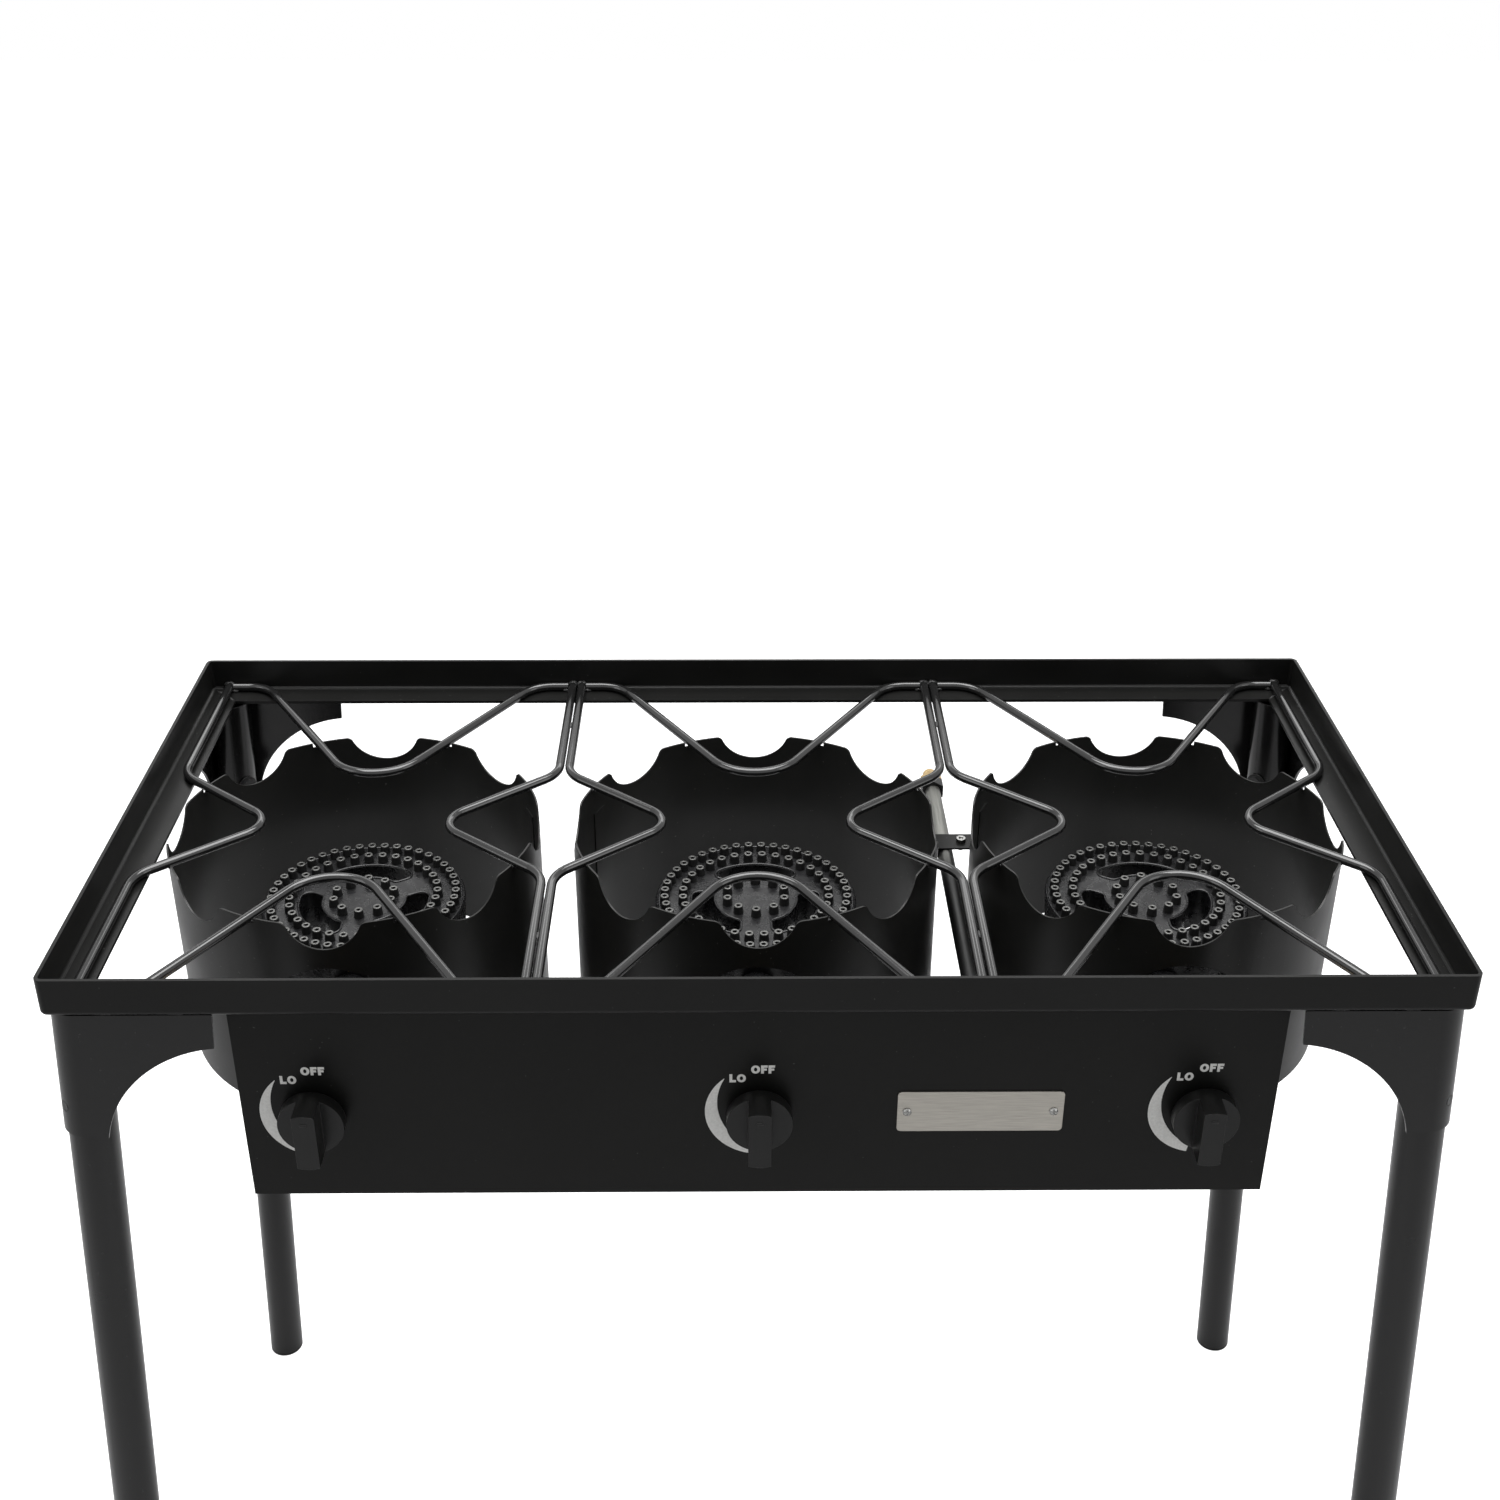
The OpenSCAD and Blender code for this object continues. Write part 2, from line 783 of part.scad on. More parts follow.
module wind_guard(cell) {
    color("#181818")
        translate([cell * cell_pitch, 0, 0])
            difference() {
                translate([0, 0, guard_bottom_z])
                    cylinder(r = guard_r, h = guard_h, $fn = 96);
                translate([0, 0, guard_bottom_z - past])
                    cylinder(r = guard_r - guard_t, h = guard_h + 2 * past, $fn = 96);
                for (i = [0 : scallop_count - 1])
                    rotate(i * 360 / scallop_count)
                        scallop();
                for (right = [0, 1], rear = [0, 1])
                    at_corner(right, rear) {
                        wire_slot(side_hit, side_slope);
                        wire_slot(vee_hit, vee_slope);
                    }
                translate([0, 0, arch_z])
                    y_rod(arch_r, -2 * guard_r, 0);
                translate([-arch_r, -2 * guard_r, guard_bottom_z - past])
                    cube([2 * arch_r, 2 * guard_r, arch_z - guard_bottom_z + past]);
            }
}

// ---- burners -------------------------------------------------------------------------------
// Count and radius of each row, and how far it is turned from the front, in steps
nozzle_rows = [
    [outer_nozzles, outer_row_r, 1 / 2],
    [inner_nozzles, inner_row_r, 1 / 2],
    [disc_nozzles, disc_row_r, 0]
];

// Runs children at every nozzle seat of a burner
module at_nozzles() {
    for (row = nozzle_rows)
        for (i = [0 : row[0] - 1])
            rotate(270 + (i + row[2]) * 360 / row[0])
                translate([row[1], 0, 0])
                    children();
}

// Outside of the casting; z = 0 is the ring's top face
module burner_outside() {
    rotate_extrude($fn = 96)
        polygon([
            [ring_bore_r, -ring_h],
            [ring_bore_r, 0],
            [ring_r - rim_bevel, 0],
            [ring_r, -rim_bevel],
            [ring_r - ring_draft, -ring_h]
        ]);
    translate([0, 0, -ring_h])
        cylinder(r = disc_r, h = ring_h);
    for (a = arm_angles)
        rotate(a)
            translate([disc_r - cast_wall, -arm_w / 2, -ring_h])
                cube([ring_bore_r - disc_r + 2 * cast_wall, arm_w, ring_h]);
    translate([0, 0, tube_z - ring_top_z]) {
        y_rod(tube_r, -bell_taper_y, 0);
        translate([0, -bell_taper_y, 0])
            rotate([90, 0, 0])
                rotate_extrude()
                    polygon([[0, 0], [tube_r, 0], [bell_r, bell_l], [0, bell_l]]);
        sphere(r = tube_r);
    }
    translate([-ear_reach, -ear_y - ear_l / 2, ear_bottom_z - ring_top_z])
        cube([2 * ear_reach, ear_l, ear_t]);
}

// Gas passages inside the casting
module burner_inside() {
    channel_h = ring_h - 2 * cast_wall;
    translate([0, 0, -ring_h + cast_wall]) {
        difference() {
            cylinder(r = channel_out_r, h = channel_h, $fn = 96);
            translate([0, 0, -past])
                cylinder(r = ring_bore_r + cast_wall, h = channel_h + 2 * past, $fn = 96);
        }
        cylinder(r = disc_r - cast_wall, h = channel_h);
        for (a = arm_angles)
            rotate(a)
                translate([disc_r - 2 * cast_wall, -arm_channel_w / 2, 0])
                    cube([ring_bore_r - disc_r + 4 * cast_wall, arm_channel_w, channel_h]);
    }
    translate([0, 0, tube_z - ring_top_z]) {
        y_rod(tube_bore_r, -bell_y + mouth_t, 0);
        sphere(r = tube_bore_r);
        cylinder(r = tube_bore_r, h = ring_top_z - tube_z - 2 * cast_wall);
        translate([0, -bell_taper_y, 0])
            rotate([90, 0, 0])
                rotate_extrude()
                    polygon([
                        [0, 0],
                        [tube_bore_r, 0],
                        [bell_r - bell_rim_t, bell_l - mouth_t],
                        [0, bell_l - mouth_t]
                    ]);
        y_rod(jet_d / 2 + fit, -bell_y - past, -bell_y + mouth_t + past);
        air_windows(-bell_y - past, -bell_y + mouth_t + past);
    }
}

// Runs children on the axis of both bolts of a burner
module at_ear_bolts() {
    for (side = [-1, 1])
        translate([side * ear_bolt_x, -ear_y, 0])
            children();
}

module burner(cell) {
    color("#151515")
        translate([cell * cell_pitch, 0, ring_top_z])
            difference() {
                burner_outside();
                burner_inside();
                at_nozzles()
                    translate([0, 0, -spigot_l])
                        cylinder(r = spigot_d / 2 + fit, h = spigot_l + past);
                at_ear_bolts()
                    translate([0, 0, ear_bottom_z - ring_top_z - past])
                        cylinder(r = burner_bolt_d / 2 + fit, h = ear_t + 2 * past);
            }
}

module nozzles(cell) {
    color("#3a3a3a")
        translate([cell * cell_pitch, 0, ring_top_z])
            at_nozzles()
                difference() {
                    union() {
                        cylinder(d1 = nozzle_foot_d, d2 = nozzle_d, h = nozzle_h);
                        translate([0, 0, -spigot_l])
                            cylinder(d = spigot_d, h = spigot_l + eps);
                    }
                    translate([0, 0, -spigot_l - past])
                        cylinder(d = nozzle_bore_d, h = nozzle_h + spigot_l + 2 * past);
                }
}

// Flat bar across each guard, under the burner's ears
module burner_straps() {
    color("#202020")
        for (cell = [-1 : 1])
            translate([cell * cell_pitch, 0, ear_bottom_z - strap_t])
                difference() {
                    intersection() {
                        cylinder(r = guard_r - guard_t - fit, h = strap_t, $fn = 96);
                        translate([-guard_r, -ear_y - strap_w / 2, 0])
                            cube([2 * guard_r, strap_w, strap_t]);
                    }
                    at_ear_bolts()
                        translate([0, 0, -past])
                            cylinder(r = burner_bolt_d / 2 + fit, h = strap_t + 2 * past);
                }
}

// Hexagon along +Z with two flats square to X
module z_hex(af, h) {
    rotate(30)
        cylinder(d = af / cos(30), h = h, $fn = 6);
}

module burner_bolts() {
    color("#9a9a9a")
        for (cell = [-1 : 1])
            translate([cell * cell_pitch, 0, ear_bottom_z + ear_t])
                at_ear_bolts() {
                    translate([0, 0, -burner_bolt_l])
                        cylinder(d = burner_bolt_d, h = burner_bolt_l + eps);
                    z_hex(burner_bolt_af, burner_bolt_head_h);
                }
}

module burner_nuts() {
    color("#9a9a9a")
        for (cell = [-1 : 1])
            translate([cell * cell_pitch, 0, ear_bottom_z - strap_t - burner_nut_h])
                at_ear_bolts()
                    difference() {
                        z_hex(burner_bolt_af, burner_nut_h);
                        translate([0, 0, -past])
                            cylinder(r = burner_bolt_d / 2 + fit, h = burner_nut_h + 2 * past);
                    }
}

// ---- air shutters and gas line ------------------------------------------------------------------
module air_shutter(cell) {
    color("#b0b0b0")
        translate([cell * cell_pitch, 0, tube_z])
            difference() {
                union() {
                    y_rod(shutter_r, -shutter_front_y, -shutter_rear_y);
                    translate([-tab_w / 2, -shutter_front_y, 0])
                        cube([tab_w, shutter_t, shutter_r + tab_l]);
                }
                y_rod(jet_d / 2 + run_clear, -shutter_front_y - past, -shutter_rear_y + past);
                air_windows(-shutter_front_y - past, -shutter_rear_y + past);
            }
}

module jets() {
    color("#c9a24b")
        for (cell = [-1 : 1])
            translate([cell * cell_pitch, 0, tube_z])
                difference() {
                    union() {
                        y_rod(jet_d / 2, -valve_rear_y, -bell_y + mouth_t);
                        y_hex(collar_af, -collar_rear_y - collar_t, -collar_rear_y);
                        y_rod(jet_spigot_d / 2, -valve_rear_y - jet_spigot_l, -valve_rear_y + eps);
                    }
                    y_rod(
                        jet_gallery_d / 2,
                        -valve_rear_y - jet_spigot_l - past,
                        -bell_y + mouth_t - jet_tip_l
                    );
                    y_rod(orifice_d / 2, -bell_y, -bell_y + mouth_t + past);
                }
}

module valve_bodies() {
    color("#b58d3d")
        for (cell = [-1 : 1])
            translate([cell * cell_pitch, 0, tube_z])
                difference() {
                    union() {
                        y_rod(valve_r, panel_back_y, -valve_rear_y);
                        y_rod(bonnet_d / 2, panel_back_y - bonnet_l, panel_back_y + eps);
                        translate([0, -manifold_y, -manifold_drop + manifold_d / 2 - manifold_wall])
                            cylinder(d = tail_d, h = manifold_drop - manifold_d / 2 + manifold_wall);
                    }
                    y_rod(stem_d / 2 + run_clear, panel_back_y - bonnet_l - past, panel_back_y + stem_bore_l);
                    y_rod(outlet_bore_d / 2, -valve_rear_y - jet_spigot_l - past, -valve_rear_y + past);
                    y_rod(tail_bore_d / 2, -manifold_y, -valve_rear_y);
                    translate([0, -manifold_y, -manifold_drop])
                        cylinder(d = tail_bore_d, h = manifold_drop);
                }
}

module valve_nuts() {
    color("#9a9a9a")
        for (cell = [-1 : 1])
            translate([cell * cell_pitch, 0, tube_z])
                difference() {
                    y_hex(bonnet_nut_af, panel_face_y - bonnet_nut_t, panel_face_y);
                    y_rod(bonnet_d / 2 + fit, panel_face_y - bonnet_nut_t - past, panel_face_y + past);
                }
}

module valve_stem(cell) {
    color("#b58d3d")
        translate([cell * cell_pitch, 0, tube_z])
            y_rod(stem_d / 2, stem_front_y, panel_back_y + stem_in_l);
}

module manifold() {
    span = 2 * (cell_pitch + manifold_over);
    color("#262626")
        difference() {
            translate([-span / 2, -manifold_y, manifold_z])
                rotate([0, 90, 0])
                    cylinder(d = manifold_d, h = span);
            translate([-span / 2 + manifold_wall, -manifold_y, manifold_z])
                rotate([0, 90, 0])
                    cylinder(d = manifold_d - 2 * manifold_wall, h = span - 2 * manifold_wall);
            for (cell = [-1 : 1])
                translate([cell * cell_pitch, -manifold_y, manifold_z])
                    cylinder(r = tail_d / 2 + fit, h = manifold_d);
            translate([pipe_front_x, -manifold_y, manifold_z])
                cylinder(r = pipe_d / 2 + fit, h = manifold_d);
        }
}

// Supply pipe as a flat path: x is the distance in front of the pipe's rear end, y is height
pipe_path = [
    [0, pipe_z],
    [norm(pipe_run), pipe_z],
    [norm(pipe_run), pipe_entry_z]
];
pipe_radii = [0, pipe_bend_r, 0];

module in_pipe_plane() {
    translate([pipe_rear_x, pipe_rear_y, 0])
        rotate([90, 0, pipe_heading])
            children();
}

module supply_pipe() {
    bore_path = [
        pipe_path[0] - [past, 0],
        pipe_path[1],
        pipe_path[2] - [0, past]
    ];
    color("#303030")
        in_pipe_plane()
            difference() {
                bent_bar(pipe_path, pipe_radii, pipe_d);
                bent_bar(bore_path, pipe_radii, pipe_d - 2 * pipe_wall);
            }
}

// Puts children at the pipe's rear end, with -Y along the pipe towards the front
module at_pipe_end() {
    translate([pipe_rear_x, pipe_rear_y, pipe_z])
        rotate(pipe_heading + 90)
            children();
}

module pipe_nut() {
    color("#1c1c1c")
        at_pipe_end()
            difference() {
                y_hex(nut_af, -nut_l, -weld_gap);
                y_rod(pipe_d / 2 + fit, -nut_l - past, past);
            }
}

module inlet_fitting() {
    color("#c9a24b")
        at_pipe_end()
            difference() {
                union() {
                    y_hex(fitting_af, 0, fitting_hex_l);
                    y_rod(inlet_d / 2, 0, inlet_l);
                }
                y_rod(inlet_bore_d / 2, -past, inlet_l + past);
            }
}

// Clip: a strip that hooks over the pipe and runs to the right guard
clip_share = (clip_y + manifold_y) / (pipe_rear_y + manifold_y);
clip_pipe_x = pipe_front_x + (pipe_rear_x - pipe_front_x) * clip_share;
clip_z = pipe_z + pipe_d / 2 + fit;
clip_left_x = clip_pipe_x - pipe_d / 2 - clip_t - clip_slack;
clip_screw_x = clip_pipe_x + clip_screw_gap;

module pipe_clip() {
    color("#1c1c1c")
        difference() {
            union() {
                translate([clip_left_x, clip_y - clip_w / 2, clip_z])
                    cube([cell_pitch - clip_left_x, clip_w, clip_t]);
                translate([clip_left_x, clip_y - clip_w / 2, clip_z - clip_hook_l])
                    cube([clip_t, clip_w, clip_hook_l + eps]);
            }
            translate([cell_pitch, 0, 0])
                cylinder(r = guard_r + fit, h = stand_h, $fn = 96);
            translate([clip_screw_x, clip_y, clip_z - past])
                cylinder(r = screw_d / 2 + fit, h = clip_t + 2 * past);
        }
}

// ---- control panel ----------------------------------------------------------------------------
module control_panel() {
    color("#1a1a1a")
        translate([-panel_w / 2, panel_face_y, ledge_under_z - panel_h])
            difference() {
                union() {
                    cube([panel_w, panel_t, panel_h]);
                    translate([0, 0, panel_h - panel_t])
                        cube([panel_w, panel_flange, panel_t]);
                    cube([panel_w, panel_lip, panel_t]);
                    for (x = [0, panel_w - panel_t])
                        translate([x, 0, 0])
                            cube([panel_t, panel_lip, panel_h]);
                }
                for (cell = [-1 : 1])
                    translate([panel_w / 2 + cell * cell_pitch, 0, tube_z - ledge_under_z + panel_h])
                        y_rod(bonnet_d / 2 + fit, -past, panel_t + past);
                for (side = [-1, 1]) {
                    translate([
                        panel_w / 2 + plate_x + side * plate_screw_pitch / 2,
                        0,
                        tube_z - ledge_under_z + panel_h
                    ])
                        y_rod(plate_screw_d / 2 + fit, -past, panel_t + past);
                    translate([
                        panel_w / 2 + side * (panel_w / 2 - panel_screw_in),
                        panel_screw_y - panel_face_y,
                        panel_h - panel_t - past
                    ])
                        cylinder(r = screw_d / 2 + fit, h = panel_t + 2 * past);
                }
            }
}

// Pan-head screw along +Z, head below z = 0
module pan_head_screw(length) {
    cylinder(d = screw_d, h = length);
    translate([0, 0, -pan_head_h])
        cylinder(d = pan_head_d, h = pan_head_h);
}

module pan_head_screws() {
    color("#8a8a8a")
        for (side = [-1, 1])
            translate([side * (panel_w / 2 - panel_screw_in), panel_screw_y, ledge_under_z - panel_t])
                pan_head_screw(pan_shank_l);
}

// Socket-head screw of the pipe clip
module clip_screw() {
    color("#a0a0a0")
        translate([clip_screw_x, clip_y, clip_z + clip_t])
            difference() {
                union() {
                    cylinder(d = socket_head_d, h = socket_head_h);
                    translate([0, 0, -clip_t - clip_screw_past])
                        cylinder(d = screw_d, h = clip_t + clip_screw_past + eps);
                }
                translate([0, 0, socket_head_h - socket_l])
                    z_hex(socket_af, socket_l + past);
            }
}

module name_plate() {
    color("#b8b8b4")
        translate([plate_x, panel_face_y, tube_z])
            difference() {
                rotate([90, 0, 0])
                    linear_extrude(plate_t)
                        polygon(round_rect(plate_w, plate_h, plate_corner_r, 6));
                for (side = [-1, 1])
                    translate([side * plate_screw_pitch / 2, 0, 0])
                        y_rod(plate_screw_d / 2 + fit, -plate_t - past, past);
            }
}

module plate_screws() {
    color("#a0a0a0")
        for (side = [-1, 1])
            translate([plate_x + side * plate_screw_pitch / 2, panel_face_y - plate_t, tube_z]) {
                y_rod(plate_screw_d / 2, 0, plate_screw_l);
                y_rod(plate_head_d / 2, -plate_head_h, 0);
            }
}

// ---- knobs ----------------------------------------------------------------------------------------
// A knob turns with its stem; its grip stands upright when the valve is off
module knob(cell) {
    color("#141414")
        translate([cell * cell_pitch, knob_back_y, tube_z])
            difference() {
                union() {
                    y_rod(knob_d / 2, -knob_disc_t, 0);
                    intersection() {
                        y_rod(knob_d / 2, -knob_disc_t - grip_l, 0);
                        translate([-grip_w / 2, -knob_disc_t - grip_l, -knob_d / 2])
                            cube([grip_w, grip_l + eps, knob_d]);
                    }
                }
                y_rod(knob_recess_d / 2, -knob_recess_l, past);
                y_rod(stem_d / 2 + fit, -knob_pocket_l, past);
            }
}

front_rail();
rear_rail();
left_rail();
right_rail();
at_corner(0, 0) bracket();  // front_left_bracket
at_corner(1, 0) bracket();  // front_right_bracket
at_corner(0, 1) bracket();  // rear_left_bracket
at_corner(1, 1) bracket();  // rear_right_bracket
at_corner(0, 0) leg();  // front_left_leg
at_corner(1, 0) leg();  // front_right_leg
at_corner(0, 1) leg();  // rear_left_leg
at_corner(1, 1) leg();  // rear_right_leg
foot_caps();
leg_bolts();
side_wire(-1, 0);  // left_grate_left_wire
side_wire(-1, 1);  // left_grate_right_wire
vee_wire(-1, 0);  // left_grate_front_wire
vee_wire(-1, 1);  // left_grate_rear_wire
side_wire(0, 0);  // middle_grate_left_wire
side_wire(0, 1);  // middle_grate_right_wire
vee_wire(0, 0);  // middle_grate_front_wire
vee_wire(0, 1);  // middle_grate_rear_wire
side_wire(1, 0);  // right_grate_left_wire
side_wire(1, 1);  // right_grate_right_wire
vee_wire(1, 0);  // right_grate_front_wire
vee_wire(1, 1);  // right_grate_rear_wire
wind_guard(-1);  // left_wind_guard
wind_guard(0);  // middle_wind_guard
wind_guard(1);  // right_wind_guard
burner(-1);  // left_burner
burner(0);  // middle_burner
burner(1);  // right_burner
nozzles(-1);  // left_nozzles
nozzles(0);  // middle_nozzles
nozzles(1);  // right_nozzles
burner_straps();
burner_bolts();
burner_nuts();
air_shutter(-1);  // left_air_shutter
air_shutter(0);  // middle_air_shutter
air_shutter(1);  // right_air_shutter
manifold();
valve_bodies();
valve_nuts();
jets();
valve_stem(-1);  // left_valve_stem
valve_stem(0);  // middle_valve_stem
valve_stem(1);  // right_valve_stem
knob(-1);  // left_knob
knob(0);  // middle_knob
knob(1);  // right_knob
supply_pipe();
pipe_nut();
inlet_fitting();
pipe_clip();
control_panel();
pan_head_screws();
clip_screw();
name_plate();
plate_screws();
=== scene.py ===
"""Looks of the three-burner propane stand, dressed round its CAD frame.

It gives the CAD nodes their finishes and worked edges, and adds what only shows: weld beads, seams,
casting lips, panel marks, screw heads and knob pointers, then the floor, the lights and the camera.
"""
import json
import math
from functools import partial

import bmesh
import bpy
from mathutils import Matrix, Vector, noise


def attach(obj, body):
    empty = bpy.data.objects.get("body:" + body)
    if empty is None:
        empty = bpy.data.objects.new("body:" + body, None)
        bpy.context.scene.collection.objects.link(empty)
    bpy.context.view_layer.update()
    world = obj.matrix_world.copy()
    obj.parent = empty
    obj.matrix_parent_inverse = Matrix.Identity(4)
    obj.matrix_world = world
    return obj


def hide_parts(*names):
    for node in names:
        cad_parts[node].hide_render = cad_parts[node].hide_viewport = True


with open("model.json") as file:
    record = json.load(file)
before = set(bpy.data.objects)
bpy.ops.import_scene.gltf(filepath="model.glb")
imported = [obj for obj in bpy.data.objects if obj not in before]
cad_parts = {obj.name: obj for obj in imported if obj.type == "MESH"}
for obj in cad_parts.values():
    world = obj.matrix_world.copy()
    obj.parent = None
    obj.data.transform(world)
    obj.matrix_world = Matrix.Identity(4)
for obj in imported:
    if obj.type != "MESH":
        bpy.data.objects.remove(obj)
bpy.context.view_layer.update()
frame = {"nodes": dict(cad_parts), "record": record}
nodes = frame["nodes"]
scene = bpy.context.scene

CELLS = {"left": -1, "middle": 0, "right": 1}
STAND = "stand"

# ---- camera of the photograph's view -------------------------------------------------------------
# Fitted to the photograph, in metres and radians
CAMERA_PLACE = Vector((-0.0168, -1.2010, 1.4986))
CAMERA_YAW = 0.0101
CAMERA_PITCH = 0.5025
CAMERA_ROLL = 0.0025
CAMERA_FOCAL_PX = 1891
PHOTO_PX = 1500
SENSOR_WIDTH = 36

# ---- sizes of the CAD model that the pieces here sit on, in millimetres --------------------------
MM = 0.001
FRAME_HALF_W = 457.2
FRAME_HALF_D = 228.6
ANGLE_T = 2.5
LEDGE_W = 25.4
LEDGE_UNDER_Z = 772
LEDGE_Z = 774.5
TOP_Z = 800
CELL_PITCH = 296
WIRE_R = 3.5
WIRE_Z = 778
WIRE_END_Y = 225.9
SIDE_WIRE_X = 144.2
SIDE_NOSE_X = 58
SIDE_BEND_Y = 72
VEE_HALF_W = 112
VEE_NOSE_Y = 41
VEE_REST_Y = 222.4
GUARD_R = 135
GUARD_T = 1.2
GUARD_BOTTOM_Z = 614
SCALLOP_DEPTH = 20
RING_R = 76
RING_BORE_R = 49
RING_H = 34
RING_TOP_Z = 710
NOZZLE_LIGHTER_FROM_Z = 715.4
NOZZLE_TOP_Z = 716.3
DISC_R = 31
ARM_HALF_W = 11
ARM_ANGLES = (30, 150, 270)
TUBE_Z = 680
PANEL_FACE_Y = -212
STRAP_Y = -40
STRAP_HALF_W = 12.5
STRAP_TOP_Z = 663.5
KNOB_FRONT_Y = -226
GRIP_L = 17
PLATE_X = 147.5
PLATE_T = 1
PLATE_SCREW_PITCH = 98
MANIFOLD_Y = -188
MANIFOLD_Z = 654
MANIFOLD_R = 9
PIPE_FRONT_X = 148
PIPE_R = 6
VALVE_TAIL_R = 5


def polar(radius, degrees, z=0.0):
    """A point round the Z axis, in millimetres."""
    angle = math.radians(degrees)
    return Vector((radius * math.cos(angle), radius * math.sin(angle), z))


# ---- materials -----------------------------------------------------------------------------------
def new_material(name):
    """A material with its tree and its Principled shader."""
    material = bpy.data.materials.new(name)
    material.use_nodes = True
    tree = material.node_tree
    return material, tree, tree.nodes["Principled BSDF"]


def object_noise(tree, scale, detail=3.0, stretch=(1, 1, 1)):
    """Noise in object space, in cycles per metre; stretch scales the three axes."""
    coords = tree.nodes.new("ShaderNodeTexCoord")
    mapping = tree.nodes.new("ShaderNodeMapping")
    mapping.inputs["Scale"].default_value = stretch
    texture = tree.nodes.new("ShaderNodeTexNoise")
    texture.inputs["Scale"].default_value = scale
    texture.inputs["Detail"].default_value = detail
    tree.links.new(coords.outputs["Object"], mapping.inputs["Vector"])
    tree.links.new(mapping.outputs["Vector"], texture.inputs["Vector"])
    return texture.outputs["Fac"]


def object_axis(tree, axis):
    """One of the object's own coordinates, in metres."""
    coords = tree.nodes.new("ShaderNodeTexCoord")
    split = tree.nodes.new("ShaderNodeSeparateXYZ")
    tree.links.new(coords.outputs["Object"], split.inputs["Vector"])
    return split.outputs[axis]


def ramp(tree, fac, low, high, start=0.3, end=0.7):
    """Colour ramp from low to high."""
    node = tree.nodes.new("ShaderNodeValToRGB")
    node.color_ramp.elements[0].position = start
    node.color_ramp.elements[0].color = (*low, 1)
    node.color_ramp.elements[1].position = end
    node.color_ramp.elements[1].color = (*high, 1)
    tree.links.new(fac, node.inputs["Fac"])
    return node.outputs["Color"]


def value_range(tree, fac, low, high, start=0.25, end=0.75):
    """Maps start..end to low..high."""
    node = tree.nodes.new("ShaderNodeMapRange")
    node.inputs["From Min"].default_value = start
    node.inputs["From Max"].default_value = end
    node.inputs["To Min"].default_value = low
    node.inputs["To Max"].default_value = high
    tree.links.new(fac, node.inputs["Value"])
    return node.outputs["Result"]


def cover(tree, fac, base, colour):
    """A plain colour laid over a base colour by fac."""
    mix = tree.nodes.new("ShaderNodeMix")
    mix.data_type = "RGBA"
    mix.inputs["B"].default_value = (*colour, 1)
    tree.links.new(fac, mix.inputs["Factor"])
    tree.links.new(base, mix.inputs["A"])
    return mix.outputs["Result"]


def bump(tree, shader, height, distance, before=None):
    """Bump of a real height, in metres."""
    node = tree.nodes.new("ShaderNodeBump")
    node.inputs["Strength"].default_value = 1.0
    node.inputs["Distance"].default_value = distance
    tree.links.new(height, node.inputs["Height"])
    if before is not None:
        tree.links.new(before, node.inputs["Normal"])
    tree.links.new(node.outputs["Normal"], shader.inputs["Normal"])
    return node.outputs["Normal"]


def shades(tone, low, high):
    """A darker and a lighter shade of a tone."""
    return tuple(c * low for c in tone), tuple(min(1.0, c * high) for c in tone)


def powder_coat(name, tone, rough, specular, peel=0.00002):
    """Satin black powder coat: orange peel, faint clouding of tone and gloss, specks of dust."""
    cloud_scale, gloss_scale, dust_scale, peel_scale = 9.0, 25.0, 420.0, 900
    dust_start, dust_end = 0.76, 0.80
    gloss_spread = 0.04
    material, tree, shader = new_material(name)
    low, high = shades(tone, 0.85, 1.15)
    cloud = ramp(tree, object_noise(tree, cloud_scale), low, high)
    dust = value_range(tree, object_noise(tree, dust_scale, 1.0), 0.0, 1.0, dust_start, dust_end)
    dust_tone = tuple(min(1.0, c * 4 + 0.02) for c in tone)
    tree.links.new(cover(tree, dust, cloud, dust_tone), shader.inputs["Base Color"])
    gloss_noise = object_noise(tree, gloss_scale)
    gloss = value_range(tree, gloss_noise, rough - gloss_spread, rough + gloss_spread)
    tree.links.new(gloss, shader.inputs["Roughness"])
    shader.inputs["Specular IOR Level"].default_value = specular
    bump(tree, shader, object_noise(tree, peel_scale, 2.0), peel)
    return material


def cast_paint(name, tone, rough, grain=0.0003):
    """Black paint over rough cast iron: sand-cast grain and pits."""
    tone_scale, gloss_scale, grain_scale = 90.0, 160.0, 320.0
    pit_scale, pit_depth = 1100.0, 0.00012
    material, tree, shader = new_material(name)
    low, high = shades(tone, 0.6, 1.5)
    mottled = ramp(tree, object_noise(tree, tone_scale), low, high)
    tree.links.new(mottled, shader.inputs["Base Color"])
    shader.inputs["Specular IOR Level"].default_value = 0.34
    gloss = value_range(tree, object_noise(tree, gloss_scale), rough - 0.1, rough + 0.12)
    tree.links.new(gloss, shader.inputs["Roughness"])
    coarse = bump(tree, shader, object_noise(tree, grain_scale, 4.0), grain)
    bump(tree, shader, object_noise(tree, pit_scale, 3.0), pit_depth, before=coarse)
    return material


